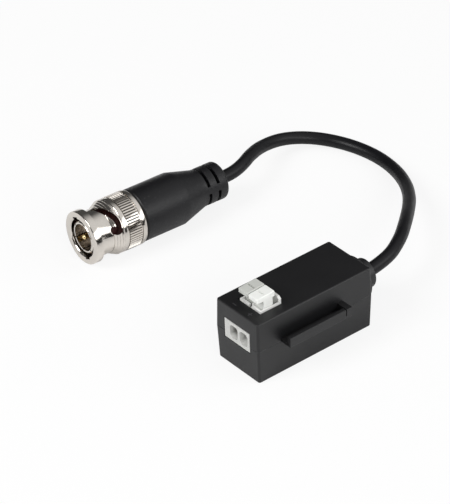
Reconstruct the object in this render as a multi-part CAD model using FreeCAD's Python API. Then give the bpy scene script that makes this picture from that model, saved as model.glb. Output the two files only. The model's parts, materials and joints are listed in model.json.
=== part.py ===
import FreeCAD, Part
import math
import os

# A passive video balun for security cameras: a small moulded housing with a two-pole press
# terminal, a short coaxial lead and a bayonet plug with a moulded boot.
# Millimetres. The origin is the centre of the housing's base, +Z is up, the wires enter from -Y
# and the lead leaves towards +Y.

V = FreeCAD.Vector
PARTS = {}

# Fits and gaps
FACE_GAP = 0.05
FIT_GAP = 0.10
RUNNING_GAP = 0.05
BODY_GAP = 0.15
OVERSHOOT = 1.0

# Housing shells
HOUSING_WIDTH = 15.6
HOUSING_LENGTH = 35.4
HOUSING_HEIGHT = 17.0
SPLIT_HEIGHT = 9.3
WALL = 1.3
TOP_WALL = 1.3
FLOOR = 1.4
UPPER_DRAFT = 0.2
LOWER_DRAFT = 0.3
CORNER_RADIUS = 0.6
EDGE_RADIUS = 0.4
REVEAL = 0.12
TONGUE_THICKNESS = 0.55
TONGUE_HEIGHT = 1.3
BEAD_RADIUS = 0.22
BEAD_LENGTH = 4.0
BEAD_SPACING = 17.0

# Side rail hook and its stop
RAIL_STANDOFF = 3.4
RAIL_WEB = 0.75
RAIL_LIP = 1.05
RAIL_HEIGHT = 2.55
RAIL_SETBACK = 7.0
RAIL_LENGTH = 17.2
RAIL_SLIT = 0.25
STOP_LENGTH = 1.7
RAIL_ROUND = 0.2

# Circuit board
BOARD_DROP = 1.6
BOARD_THICKNESS = 1.6
BOARD_FRONT_GAP = 0.3
BOARD_BACK_GAP = 1.9
BOARD_SIDE_GAP = 0.15
POST_RADIUS = 1.1
POST_INSET_X = 1.05
POST_INSET_Y = 1.3
HOLD_DOWN_RADIUS = 0.8
HOLD_DOWN_SETBACK = 1.4

# Terminal block
TERMINAL_CENTRE_X = 0.05
TERMINAL_WIDTH = 9.1
TERMINAL_RECESS = 0.05
NOSE_HEIGHT = 5.3
TERMINAL_LENGTH = 10.1
COLLAR_SETBACK = 3.8
COLLAR_RIM = 0.5
COLLAR_WALL = 0.36
FRONT_RIM = 0.6
BACK_WALL = 0.7
BACK_WALL_RISE = 2.0
BACK_WALL_CHAMFER = 0.6
RIM_NOTCH_WIDTH = 1.0
RIM_NOTCH_DEPTH = 1.0
WINDOW_GAP = 0.2
OPENING_GAP = 0.15
OPENING_LEFT_GAP = 0.8
POLE_PITCH = 3.6
FIRST_POLE_X = -1.2
CHAMBER_WIDTH = 3.16
CHAMBER_FLOOR = 0.8
ENTRY_WIDTH = 2.9
ENTRY_HEIGHT = 3.6
ENTRY_ROUND = 1.0
ENTRY_DEPTH = 2.2
THROAT_WIDTH = 2.2
THROAT_HEIGHT = 2.5
THROAT_ROUND = 0.7

# Press levers
LEVER_WIDTH = 3.4
LEVER_LENGTH = 5.3
LEVER_SETBACK = 3.2
LEVER_RISE = 4.0
LEVER_SLOPE = 0.3
PAD_THICKNESS = 1.15
PAD_ROUND = 0.25
SLOT_LENGTH = 2.4
SLOT_WIDTH = 0.4
SLOT_DEPTH = 0.4
SLOT_PLACE = 2.5
STEM_LENGTH = 2.8
STEM_SETBACK = 0.75
STEM_CLEARANCE = 1.3
NOSE_WIDTH = 1.8
NOSE_LENGTH = 1.0
NOSE_SETBACK = 0.6
PIVOT_SETBACK = 1.6
PIVOT_DROP = 2.0
HUB_RADIUS = 0.7
TRUNNION_RADIUS = 0.55
TRUNNION_LENGTH = 0.14

# Wire clamps
SPRING_THICKNESS = 0.25
SPRING_WIDTH = 2.2
SPRING_SIDE_X = -0.8
SPRING_BEND = 0.3
SPRING_FRONT_GAP = 0.5
SPRING_BACK_GAP = 1.2
SPRING_LOOP = 0.77
SPRING_TOUCH_GAP = 0.07
CONTACT_THICKNESS = 0.4
CONTACT_RISE = 3.6
CONTACT_LENGTH = 0.9
CONTACT_WIDTH = 2.8
PIN_WIDTH = 0.6
PIN_TAIL = 1.2
PIN_HOLE_GAP = 0.12

# Parts on the board
CORE_X = 0.4
CORE_SETBACK = 5.9
CORE_RADIUS = 3.6
CORE_HOLE = 1.7
CORE_HEIGHT = 2.8
WINDING_THICKNESS = 0.35
WINDING_WIDTH = 0.42
WINDING_GAP = 0.05
WINDING_TURNS = 8
WINDING_SECTOR = 130.0
SUPPRESSOR_SIZE = (2.6, 4.3, 2.1)
SUPPRESSOR_INSET = 2.85
SUPPRESSOR_SETBACK = 7.6
LEAD_FRAME = 0.2
CHIP_SIZE = (0.85, 1.6, 0.5)
CHIP_SPACING = 1.8
CHIP_INSET = 2.35
RESISTOR_SETBACK = 6.3
CAPACITOR_SETBACK = 8.9

# Strain relief of the housing
GLAND_DISC_RADIUS = 5.75
GLAND_DISC = 2.0
GLAND_NOSE_RADIUS = 3.85
GLAND_NOSE = 2.95
GLAND_NECK_RADIUS = 3.9
GLAND_FLANGE_RADIUS = 4.6
GLAND_FLANGE = 1.2
GLAND_ROUND = 0.45
GLAND_RIB = 1.0
GLAND_RIB_WIDTH = 9.6

# Coaxial lead
CABLE_RADIUS = 1.7
DIELECTRIC_RADIUS = 0.8
CONDUCTOR_RADIUS = 0.25
BRAID_RADIUS = 0.45
JACKET_TAIL = 3.6
LEAD_PAD_INSET = 1.8
CORE_PAD_X = 1.2
SHIELD_PAD_X = -2.4
LEAD_BEND = 0.8

# Plug placement: the nose's centre, its height over the ground and the turn of its axis
PLUG_NOSE_X = -59.97
PLUG_NOSE_Y = -18.4
PLUG_LIFT = 0.05
PLUG_YAW = 3.1
PLUG_LENGTH = 42.0

# Coupling ring; stations are measured along the axis from its front face
RING_RADIUS = 7.25
RING_LENGTH = 15.3
RING_BORE = 4.95
FLANGE_RADIUS = 7.05
FLANGE_LENGTH = 2.1
FLANGE_ROUND = 0.3
FLANGE_CHAMFER = 0.15
NECK_RADIUS = 6.0
NECK_LENGTH = 3.75
FLARE_FRONT_RADIUS = 6.25
FLARE_STEPS = 3
FLARE_STEP_LENGTH = 0.62
FLARE_LIP = 0.12
BAND_RADIUS = 7.2
BAND_LENGTH = 1.84
BAND_LINE_PLACE = 0.6
BAND_LINE_WIDTH = 0.2
BAND_LINE_DEPTH = 0.12
KNURL_LENGTH = 3.65
KNURL_GROOVE = 0.3
KNURL_DEPTH = 0.3
KNURL_COUNT = 64
KNURL_PATCHES = 4
KNURL_PATCH_ANGLE = 40.0
KNURL_PATCH_CENTRE = 47.5
RIM_GROOVE = 0.3
RIM_ROUND = 0.6
RING_CAVITY_RADIUS = 6.1
RING_SHOULDER_WALL = 1.3
SLOT_BLADE = 1.6
SLOT_PATH = ((-18.0, 5.1), (11.0, 6.4), (28.5, 7.35), (57.5, 7.75))
DETENT_ANGLE = 66.0
DETENT_STATION = 6.75
DETENT_RADIUS = 1.2
NOTCH_ANGLE = -26.0
NOTCH_WIDTH = 2.0
NOTCH_RADIUS = 5.6

# Plug body, contacts and seals
SLEEVE_RADIUS = 4.2
SLEEVE_BORE = 3.6
SLEEVE_SETBACK = 0.5
SLEEVE_SLITS = 6
SLEEVE_SLIT_WIDTH = 0.35
SLEEVE_SLIT_LENGTH = 5.5
SLEEVE_SLIT_ANGLE = 6.0
BODY_FLANGE = 1.3
BODY_HUB_RADIUS = 4.7
CRIMP_STEM_RADIUS = 2.5
CRIMP_STEM_BORE = 1.9
CRIMP_STEM_LENGTH = 7.0
FERRULE_RADIUS = 3.3
FERRULE_BORE = 2.75
FERRULE_LENGTH = 8.0
GASKET_START = 3.2
GASKET_SKIRT_RADIUS = 4.6
GASKET_LIP = 1.2
INSULATOR_FRONT = 5.9
INSULATOR_LIP = 0.1
INSULATOR_REAR_RADIUS = 2.6
PIN_RADIUS = 0.68
PIN_SETBACK = 0.4
PIN_SHOULDER_RADIUS = 1.0
PIN_SOCKET = 0.3
WASHER_THICKNESS = 0.55
WAVE_THICKNESS = 0.3
WAVE_HEIGHT = 0.45
WAVE_COUNT = 3
RETAINER_LENGTH = 0.9

# Boot
BOOT_RADIUS = 7.0
BOOT_CYLINDER = 12.45
BOOT_TAPER = 7.3
BOOT_END_RADIUS = 5.0
BOOT_END_ROUND = 0.9
BOOT_FRONT_CHAMFER = 0.4
BOOT_SLOT_STATIONS = (36.05, 38.9)
BOOT_SLOT_WIDTH = 0.85
BOOT_SLOT_DEPTH = 1.5
BOOT_BRIDGE_ANGLE = 73.0
BOOT_BRIDGE_WIDTH = 1.9

# Route of the free lead, from the gland to the boot
CABLE_ROUTE = [
    (0.0, 29.4, 9.9), (-3.8, 37.1, 10.5), (-9.3, 43.7, 9.5), (-14.9, 49.8, 7.7),
    (-21.1, 55.8, 5.6), (-28.4, 61.1, 3.7), (-36.9, 65.0, 2.2), (-46.0, 66.1, 1.75),
    (-55.0, 63.9, 1.9), (-62.0, 58.5, 2.8), (-65.3, 51.1, 4.1), (-64.25, 43.0, 5.67),
    (-60.9, 36.34, 7.25), (-59.1, 33.22, 7.5), (-57.99, 30.01, 7.4),
]
CABLE_LAST_RUN = 3.2

# Places that several pieces share
FRONT_Y = -HOUSING_LENGTH / 2
BACK_Y = HOUSING_LENGTH / 2
CEILING = HOUSING_HEIGHT - TOP_WALL
GLAND_Z = SPLIT_HEIGHT
GLAND_SEAT_Y = BACK_Y - WALL - LOWER_DRAFT * GLAND_FLANGE_RADIUS / SPLIT_HEIGHT - FACE_GAP
GLAND_END_Y = BACK_Y + FACE_GAP + GLAND_DISC + GLAND_NOSE
RIB_BACK_Y = GLAND_SEAT_Y - GLAND_FLANGE - FIT_GAP
RIB_FRONT_Y = RIB_BACK_Y - GLAND_RIB
BOARD_TOP = SPLIT_HEIGHT - BOARD_DROP
BOARD_BOTTOM = BOARD_TOP - BOARD_THICKNESS
BOARD_START = FRONT_Y + WALL + BOARD_FRONT_GAP
BOARD_END_Y = RIB_FRONT_Y - BOARD_BACK_GAP
JACKET_END_Y = GLAND_SEAT_Y - JACKET_TAIL
LEAD_PAD_Y = BOARD_END_Y - LEAD_PAD_INSET
RAIL_START = FRONT_Y + RAIL_SETBACK
TERMINAL_END_Y = FRONT_Y + TERMINAL_LENGTH
COLLAR_START_Y = FRONT_Y + COLLAR_SETBACK
LEVER_START_Y = FRONT_Y + LEVER_SETBACK
HOLD_DOWN_FRONT_Y = TERMINAL_END_Y + HOLD_DOWN_SETBACK
PIVOT_Y = TERMINAL_END_Y - PIVOT_SETBACK
PIVOT_HEIGHT = HOUSING_HEIGHT - PIVOT_DROP
CORE_Y = TERMINAL_END_Y + CORE_SETBACK
TERMINAL_LEFT = TERMINAL_CENTRE_X - TERMINAL_WIDTH / 2
TERMINAL_RIGHT = TERMINAL_CENTRE_X + TERMINAL_WIDTH / 2
TERMINAL_FRONT_Y = FRONT_Y + TERMINAL_RECESS
TERMINAL_TOP = CEILING - FIT_GAP
NOSE_TOP = BOARD_TOP + NOSE_HEIGHT
POLES = {"left": FIRST_POLE_X, "right": FIRST_POLE_X + POLE_PITCH}
COLLAR_LEFT = FIRST_POLE_X - CHAMBER_WIDTH / 2 - COLLAR_WALL
COLLAR_RIGHT = FIRST_POLE_X + POLE_PITCH + CHAMBER_WIDTH / 2 + COLLAR_WALL
CHAMBER_FRONT_Y = COLLAR_START_Y + FRONT_RIM
CHAMBER_BACK_Y = TERMINAL_END_Y - BACK_WALL
CHAMBER_BOTTOM = BOARD_TOP + CHAMBER_FLOOR
CONTACT_HEIGHT = CHAMBER_BOTTOM + CONTACT_RISE
STEM_FOOT_HEIGHT = CONTACT_HEIGHT + STEM_CLEARANCE
ENTRY_Z = BOARD_TOP + NOSE_HEIGHT / 2
LEVER_TOP = HOUSING_HEIGHT + LEVER_RISE
STEM_FRONT_Y = CHAMBER_FRONT_Y + STEM_SETBACK
NOSE_Y = STEM_FRONT_Y + NOSE_SETBACK + NOSE_LENGTH / 2
SPRING_FRONT_Y = CHAMBER_FRONT_Y + SPRING_FRONT_GAP
SPRING_BACK_Y = CHAMBER_BACK_Y - SPRING_BACK_GAP
SPRING_FLOOR = CHAMBER_BOTTOM + FACE_GAP + SPRING_THICKNESS / 2
SPRING_BACK = SPRING_FLOOR + SPRING_LOOP
SPRING_TIP = CONTACT_HEIGHT - CONTACT_THICKNESS - FACE_GAP - SPRING_THICKNESS / 2
SPRING_SLOPE = (SPRING_TIP - SPRING_BACK) / (SPRING_BACK_Y - SPRING_FRONT_Y)
PLUG_AXIS_Z = RING_RADIUS + PLUG_LIFT
FLARE_STATION = FLANGE_LENGTH + NECK_LENGTH
BAND_STATION = FLARE_STATION + FLARE_STEPS * FLARE_STEP_LENGTH
KNURL_STATION = BAND_STATION + BAND_LENGTH + KNURL_GROOVE
RIM_STATION = KNURL_STATION + KNURL_LENGTH + RIM_GROOVE
BODY_FLANGE_STATION = KNURL_STATION + RING_SHOULDER_WALL
BOOT_STATION = RING_LENGTH + BODY_GAP


def block(x0, x1, y0, y1, z0, z1):
    """A box between two corners."""
    return Part.makeBox(x1 - x0, y1 - y0, z1 - z0, V(x0, y0, z0))


def rectangle(half_width, half_length, z):
    """A closed rectangle about the housing's centre line."""
    corners = [V(sx * half_width, sy * half_length, z) for sx, sy in ((-1, -1), (1, -1), (1, 1), (-1, 1))]
    return Part.makePolygon(corners + corners[:1])


def drafted_block(width, length, z0, z1, inset0, inset1):
    """A block whose four walls lean inwards, by one inset at each end."""
    low = rectangle(width / 2 - inset0, length / 2 - inset0, z0)
    high = rectangle(width / 2 - inset1, length / 2 - inset1, z1)
    return Part.makeLoft([low, high], True, True)


def upright_edges(shape):
    """The edges that climb from one level to another."""
    return [e for e in shape.Edges if abs(e.Vertexes[0].Z - e.Vertexes[-1].Z) > OVERSHOOT]


def edges_at_height(shape, z):
    """The edges that lie in one level plane."""
    return [e for e in shape.Edges if max(abs(v.Z - z) for v in e.Vertexes) < FACE_GAP / 10]


def rod(radius, start, direction, length):
    """A round bar from a start point."""
    return Part.makeCylinder(radius, length, V(*start), V(*direction))


def turned(profile):
    """A turned piece about +Z, from (station, radius) corners of its half section.

    A corner given as a pair of points is an arc: first the point that it passes, then its end.
    """
    edges = []
    here = V(profile[0][1], 0, profile[0][0])
    for item in profile[1:] + profile[:1]:
        if isinstance(item[0], tuple):
            middle = V(item[0][1], 0, item[0][0])
            there = V(item[1][1], 0, item[1][0])
            edges.append(Part.Arc(here, middle, there).toShape())
        else:
            there = V(item[1], 0, item[0])
            edges.append(Part.LineSegment(here, there).toShape())
        here = there
    face = Part.Face(Part.Wire(edges))
    return face.revolve(V(0, 0, 0), V(0, 0, 1), 360)


def round_corner(station, radius, size, toward_station, toward_radius):
    """The arc item that rounds an outer corner between a face and a cylinder."""
    cut = size * (1 - math.sqrt(0.5))
    middle = (station + toward_station * cut, radius - cut)
    end = (station + toward_station * size, radius) if toward_radius else (station, radius - size)
    return (middle, end)


def bent_path(points, radii):
    """Straight runs joined by tangent arcs, one radius for each inner point."""
    edges = []
    here = points[0]
    for i in range(1, len(points) - 1):
        back = (points[i - 1] - points[i]).normalize()
        ahead = (points[i + 1] - points[i]).normalize()
        half_turn = (math.pi - back.getAngle(ahead)) / 2
        reach = radii[i - 1] * math.tan(half_turn)
        start = points[i] + back * reach
        end = points[i] + ahead * reach
        inward = (back + ahead).normalize()
        to_centre = radii[i - 1] / math.cos(half_turn)
        middle = points[i] + inward * (to_centre - radii[i - 1])
        edges.append(Part.LineSegment(here, start).toShape())
        edges.append(Part.Arc(start, middle, end).toShape())
        here = end
    edges.append(Part.LineSegment(here, points[-1]).toShape())
    return Part.Wire(edges)


def tube(points, radii, radius):
    """A round bar along a bent path."""
    path = bent_path(points, radii)
    section = Part.Wire(Part.makeCircle(radius, points[0], points[1] - points[0]))
    return path.makePipeShell([section], True, False)


def strip(points, bends, thickness, x0, x1):
    """A bent strip of sheet metal: its centre line in the YZ plane, and its two sides."""
    line = [V(x0, y, z) for y, z in points]
    along = (line[1] - line[0]).normalize()
    across = V(1, 0, 0).cross(along) * (thickness / 2)
    width = V(x1 - x0, 0, 0)
    corners = [line[0] - across, line[0] - across + width, line[0] + across + width, line[0] + across]
    section = Part.makePolygon(corners + corners[:1])
    return bent_path(line, bends).makePipeShell([section], True, False)


def rounded_slot(x, z, width, height, corner, y):
    """A closed rounded rectangle in an upright plane that faces the wires."""
    low = V(x - width / 2, y, z - height / 2)
    corners = [low, low + V(width, 0, 0), low + V(width, 0, height), low + V(0, 0, height)]
    ring = [corners[-1]] + corners + [corners[0]]
    edges = []
    starts = []
    for i in range(1, 5):
        before = (ring[i - 1] - ring[i]).normalize()
        after = (ring[i + 1] - ring[i]).normalize()
        start = ring[i] + before * corner
        end = ring[i] + after * corner
        middle = ring[i] + (before + after) * corner * (1 - math.sqrt(0.5))
        starts.append((start, middle, end))
    for i in range(4):
        start, middle, end = starts[i]
        edges.append(Part.Arc(start, middle, end).toShape())
        edges.append(Part.LineSegment(end, starts[(i + 1) % 4][0]).toShape())
    return Part.Wire(edges)


# The housing


def lower_half_width(z):
    """Half of the lower shell's inner width at a height."""
    return HOUSING_WIDTH / 2 - WALL - LOWER_DRAFT * (1 - z / SPLIT_HEIGHT)


def front_window():
    """The opening that the terminal's nose looks through, in both shells."""
    return block(TERMINAL_LEFT - WINDOW_GAP, TERMINAL_RIGHT + WINDOW_GAP,
                 FRONT_Y - OVERSHOOT, FRONT_Y + WALL + OVERSHOOT,
                 BOARD_TOP - WINDOW_GAP, NOSE_TOP + FIT_GAP)


def gland_hole():
    """The round hole for the strain relief, half of it in each shell."""
    return rod(GLAND_NECK_RADIUS + FIT_GAP, (0, BACK_Y - WALL - OVERSHOOT, GLAND_Z), (0, 1, 0),
               WALL + 2 * OVERSHOOT)


def bead_rods(radius):
    """Bars along both long sides of the tongue, where the snap beads or their grooves lie."""
    x = HOUSING_WIDTH / 2 - WALL + TONGUE_THICKNESS
    z = SPLIT_HEIGHT + TONGUE_HEIGHT / 2
    bars = []
    for side in (-1, 1):
        for place in (-1, 1):
            start = (side * x, place * BEAD_SPACING / 2 - BEAD_LENGTH / 2, z)
            bars.append(rod(radius, start, (0, 1, 0), BEAD_LENGTH))
    return bars


def gland_rib(z0, z1):
    """A cross rib that holds the strain relief's inner flange against the end wall."""
    rib = block(-GLAND_RIB_WIDTH / 2, GLAND_RIB_WIDTH / 2, RIB_FRONT_Y, RIB_BACK_Y, z0, z1)
    hole = rod(CABLE_RADIUS + FIT_GAP, (0, RIB_FRONT_Y - OVERSHOOT, GLAND_Z), (0, 1, 0),
               GLAND_RIB + 2 * OVERSHOOT)
    return rib.cut(hole)


def board_corners():
    """The places of the four posts under the board's corners."""
    x = lower_half_width(BOARD_BOTTOM) - POST_INSET_X
    return [(sx * x, y) for sx in (-1, 1)
            for y in (BOARD_START + POST_INSET_Y, BOARD_END_Y - POST_INSET_Y)]


def hold_downs():
    """The places of the cover's four pegs over the board."""
    x = lower_half_width(BOARD_BOTTOM) - POST_INSET_X
    return [(sx * x, y) for sx in (-1, 1) for y in (HOLD_DOWN_FRONT_Y, BOARD_END_Y - POST_INSET_Y)]


def side_rail():
    """The hook rail on the +X side, with a slit and a stop at its rear end."""
    inner = HOUSING_WIDTH / 2 - WALL / 2
    outer = HOUSING_WIDTH / 2 + RAIL_STANDOFF
    rail_end = RAIL_START + RAIL_LENGTH
    stop_start = rail_end + RAIL_SLIT
    stop_end = stop_start + STOP_LENGTH
    top = SPLIT_HEIGHT + RAIL_HEIGHT
    web = block(inner, outer, RAIL_START, stop_end, SPLIT_HEIGHT, SPLIT_HEIGHT + RAIL_WEB)
    lip = block(outer - RAIL_LIP, outer, RAIL_START, rail_end, SPLIT_HEIGHT, top)
    stop = block(inner, outer, stop_start, stop_end, SPLIT_HEIGHT, top)
    rail = web.fuse([lip, stop]).removeSplitter()
    outer_edges = []
    for edge in rail.Edges:
        middle = edge.BoundBox.Center
        level = edge.BoundBox.ZLength < FACE_GAP
        if level and abs(middle.x - outer) < FACE_GAP and edge.BoundBox.YLength > RAIL_SLIT:
            outer_edges.append(edge)
    return rail.makeFillet(RAIL_ROUND, outer_edges)


def upper_shell():
    """The cover: walls, roof, side rail, terminal openings and the pegs over the board."""
    outer = drafted_block(HOUSING_WIDTH, HOUSING_LENGTH, SPLIT_HEIGHT, HOUSING_HEIGHT, 0, UPPER_DRAFT)
    outer = outer.makeFillet(CORNER_RADIUS, upright_edges(outer))
    outer = outer.makeFillet(EDGE_RADIUS, edges_at_height(outer, HOUSING_HEIGHT))
    outer = outer.makeChamfer(REVEAL, edges_at_height(outer, SPLIT_HEIGHT))
    cavity = drafted_block(HOUSING_WIDTH - 2 * WALL, HOUSING_LENGTH - 2 * WALL,
                           SPLIT_HEIGHT, CEILING, 0, UPPER_DRAFT)
    rebate_inset = WALL - TONGUE_THICKNESS - FIT_GAP
    rebate = drafted_block(HOUSING_WIDTH - 2 * rebate_inset, HOUSING_LENGTH - 2 * rebate_inset,
                           SPLIT_HEIGHT - OVERSHOOT, SPLIT_HEIGHT + TONGUE_HEIGHT + FIT_GAP, 0, 0)
    shell = outer.fuse(side_rail()).cut([cavity, rebate])
    shell = shell.cut(bead_rods(BEAD_RADIUS + FIT_GAP))
    pegs = [rod(HOLD_DOWN_RADIUS, (x, y, BOARD_TOP + FACE_GAP), (0, 0, 1), CEILING - BOARD_TOP)
            for x, y in hold_downs()]
    rib = gland_rib(GLAND_Z + FACE_GAP, CEILING + FACE_GAP)
    shell = shell.fuse(pegs + [rib])
    roof_opening = block(COLLAR_LEFT - OPENING_LEFT_GAP, COLLAR_RIGHT + OPENING_GAP,
                         COLLAR_START_Y - OPENING_GAP, TERMINAL_END_Y + OPENING_GAP,
                         CEILING - OVERSHOOT, HOUSING_HEIGHT + OVERSHOOT)
    return shell.cut([roof_opening, front_window(), gland_hole()]).removeSplitter()


def lower_shell():
    """The tray: base, walls, the tongue that the cover closes over, and the board's posts."""
    outer = drafted_block(HOUSING_WIDTH, HOUSING_LENGTH, 0, SPLIT_HEIGHT, LOWER_DRAFT, 0)
    outer = outer.makeFillet(CORNER_RADIUS, upright_edges(outer))
    outer = outer.makeFillet(EDGE_RADIUS, edges_at_height(outer, 0))
    outer = outer.makeChamfer(REVEAL, edges_at_height(outer, SPLIT_HEIGHT))
    tongue_inset = WALL - TONGUE_THICKNESS
    tongue = drafted_block(HOUSING_WIDTH - 2 * tongue_inset, HOUSING_LENGTH - 2 * tongue_inset,
                           SPLIT_HEIGHT - OVERSHOOT, SPLIT_HEIGHT + TONGUE_HEIGHT, 0, 0)
    shell = outer.fuse([tongue] + bead_rods(BEAD_RADIUS))
    floor_inset = LOWER_DRAFT * (1 - FLOOR / SPLIT_HEIGHT)
    cavity = drafted_block(HOUSING_WIDTH - 2 * WALL, HOUSING_LENGTH - 2 * WALL,
                           FLOOR, SPLIT_HEIGHT, floor_inset, 0)
    mouth = drafted_block(HOUSING_WIDTH - 2 * WALL, HOUSING_LENGTH - 2 * WALL,
                          SPLIT_HEIGHT, SPLIT_HEIGHT + TONGUE_HEIGHT + OVERSHOOT, 0, 0)
    shell = shell.cut(cavity.fuse(mouth))
    posts = [rod(POST_RADIUS, (x, y, FLOOR - FACE_GAP), (0, 0, 1), BOARD_BOTTOM - FLOOR + FACE_GAP)
             for x, y in board_corners()]
    rib = gland_rib(FLOOR - FACE_GAP, GLAND_Z - FACE_GAP)
    shell = shell.fuse(posts + [rib])
    return shell.cut([front_window(), gland_hole()]).removeSplitter()


# The terminal


def terminal_body():
    """The moulded block: a nose in the front window, two chambers, a collar and a back wall."""
    inner_front = FRONT_Y + WALL + UPPER_DRAFT + FACE_GAP
    main = block(TERMINAL_LEFT, TERMINAL_RIGHT, inner_front, TERMINAL_END_Y, BOARD_TOP, TERMINAL_TOP)
    nose = block(TERMINAL_LEFT, TERMINAL_RIGHT, TERMINAL_FRONT_Y, inner_front, BOARD_TOP, NOSE_TOP)
    collar = block(COLLAR_LEFT, COLLAR_RIGHT, COLLAR_START_Y, TERMINAL_END_Y,
                   TERMINAL_TOP, HOUSING_HEIGHT + COLLAR_RIM)
    back = block(COLLAR_LEFT, COLLAR_RIGHT, CHAMBER_BACK_Y, TERMINAL_END_Y,
                 TERMINAL_TOP, HOUSING_HEIGHT + BACK_WALL_RISE)
    top_edges = [e for e in back.Edges
                 if abs(e.BoundBox.Center.z - HOUSING_HEIGHT - BACK_WALL_RISE) < FACE_GAP
                 and e.BoundBox.YLength > BACK_WALL / 2]
    back = back.makeChamfer(BACK_WALL_CHAMFER, top_edges)
    body = main.fuse([nose, collar, back]).removeSplitter()
    cuts = []
    for x in POLES.values():
        half = CHAMBER_WIDTH / 2
        cuts.append(block(x - half, x + half, CHAMBER_FRONT_Y, CHAMBER_BACK_Y,
                          CHAMBER_BOTTOM, HOUSING_HEIGHT + BACK_WALL_RISE + OVERSHOOT))
        mouth = rounded_slot(x, ENTRY_Z, ENTRY_WIDTH, ENTRY_HEIGHT, ENTRY_ROUND, TERMINAL_FRONT_Y)
        throat = rounded_slot(x, ENTRY_Z, THROAT_WIDTH, THROAT_HEIGHT, THROAT_ROUND,
                              TERMINAL_FRONT_Y + ENTRY_DEPTH)
        cuts.append(Part.makeLoft([mouth, throat], True, True))
        run = CHAMBER_FRONT_Y - TERMINAL_FRONT_Y - ENTRY_DEPTH + FACE_GAP
        cuts.append(Part.Face(throat).extrude(V(0, run, 0)))
        pin_y = contact_front() + CONTACT_LENGTH / 2
        pin_x = x - half + FIT_GAP
        cuts.append(block(pin_x - PIN_HOLE_GAP, pin_x + CONTACT_THICKNESS + PIN_HOLE_GAP,
                          pin_y - PIN_WIDTH / 2 - PIN_HOLE_GAP, pin_y + PIN_WIDTH / 2 + PIN_HOLE_GAP,
                          BOARD_TOP - OVERSHOOT, CHAMBER_BOTTOM + OVERSHOOT))
        cuts.append(rod(TRUNNION_RADIUS + RUNNING_GAP,
                        (x - half - TRUNNION_LENGTH - FACE_GAP, PIVOT_Y, PIVOT_HEIGHT), (1, 0, 0),
                        CHAMBER_WIDTH + 2 * TRUNNION_LENGTH + 2 * FACE_GAP))
    notch_x = (POLES["left"] + POLES["right"]) / 2
    cuts.append(block(notch_x - RIM_NOTCH_WIDTH / 2, notch_x + RIM_NOTCH_WIDTH / 2,
                      COLLAR_START_Y - OVERSHOOT, CHAMBER_FRONT_Y + FIT_GAP,
                      HOUSING_HEIGHT + COLLAR_RIM - RIM_NOTCH_DEPTH, HOUSING_HEIGHT + OVERSHOOT))
    return body.cut(cuts)


def contact_front():
    """The front end of the current bars in their chambers."""
    return CHAMBER_FRONT_Y + FIT_GAP


def nose_centre_height():
    """The height of the nose's round tip, a small gap above the spring's sloping leaf."""
    leaf = SPRING_BACK + SPRING_SLOPE * (SPRING_BACK_Y - NOSE_Y)
    reach = SPRING_THICKNESS / 2 + NOSE_LENGTH / 2 + SPRING_TOUCH_GAP
    return leaf + reach * math.sqrt(1 + SPRING_SLOPE ** 2)


def lever(x):
    """A press lever: pad with a blade slot, stem, rounded nose, hub and trunnions."""
    half = LEVER_WIDTH / 2
    end_y = LEVER_START_Y + LEVER_LENGTH
    low = LEVER_TOP - PAD_THICKNESS
    outline = [V(x - half, LEVER_START_Y, low), V(x - half, end_y, low),
               V(x - half, end_y, LEVER_TOP + LEVER_SLOPE), V(x - half, LEVER_START_Y, LEVER_TOP)]
    pad = Part.Face(Part.makePolygon(outline + outline[:1])).extrude(V(LEVER_WIDTH, 0, 0))
    pad = pad.makeFillet(PAD_ROUND, [e for e in pad.Edges if e.BoundBox.ZMax > low + FACE_GAP])
    slot_y = LEVER_START_Y + SLOT_PLACE
    slot_floor = LEVER_TOP + LEVER_SLOPE * SLOT_PLACE / LEVER_LENGTH - SLOT_DEPTH
    slot = block(x - SLOT_LENGTH / 2, x + SLOT_LENGTH / 2, slot_y - SLOT_WIDTH / 2,
                 slot_y + SLOT_WIDTH / 2, slot_floor, LEVER_TOP + OVERSHOOT)
    stem_half = CHAMBER_WIDTH / 2 - FIT_GAP
    stem_end_y = STEM_FRONT_Y + STEM_LENGTH
    stem = block(x - stem_half, x + stem_half, STEM_FRONT_Y, stem_end_y, STEM_FOOT_HEIGHT, low + FACE_GAP)
    nose_z = nose_centre_height()
    nose = block(x - NOSE_WIDTH / 2, x + NOSE_WIDTH / 2, NOSE_Y - NOSE_LENGTH / 2,
                 NOSE_Y + NOSE_LENGTH / 2, nose_z, STEM_FOOT_HEIGHT + FACE_GAP)
    tip = rod(NOSE_LENGTH / 2, (x - NOSE_WIDTH / 2, NOSE_Y, nose_z), (1, 0, 0), NOSE_WIDTH)
    arm = block(x - stem_half, x + stem_half, stem_end_y - FACE_GAP, PIVOT_Y,
                PIVOT_HEIGHT - HUB_RADIUS, PIVOT_HEIGHT + HUB_RADIUS)
    hub = rod(HUB_RADIUS, (x - stem_half, PIVOT_Y, PIVOT_HEIGHT), (1, 0, 0), 2 * stem_half)
    pin_half = CHAMBER_WIDTH / 2 + TRUNNION_LENGTH
    trunnions = rod(TRUNNION_RADIUS, (x - pin_half, PIVOT_Y, PIVOT_HEIGHT), (1, 0, 0), 2 * pin_half)
    return pad.fuse([stem, nose, tip, arm, hub, trunnions]).cut(slot).removeSplitter()


def clamp_spring(x):
    """A hairpin leaf: one leg on the chamber's floor, the other rising under the lever's nose."""
    x0 = x + SPRING_SIDE_X
    points = [(SPRING_FRONT_Y, SPRING_FLOOR), (SPRING_BACK_Y, SPRING_FLOOR),
              (SPRING_BACK_Y, SPRING_BACK), (SPRING_FRONT_Y, SPRING_TIP)]
    return strip(points, [SPRING_BEND, SPRING_BEND], SPRING_THICKNESS, x0, x0 + SPRING_WIDTH)


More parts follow.
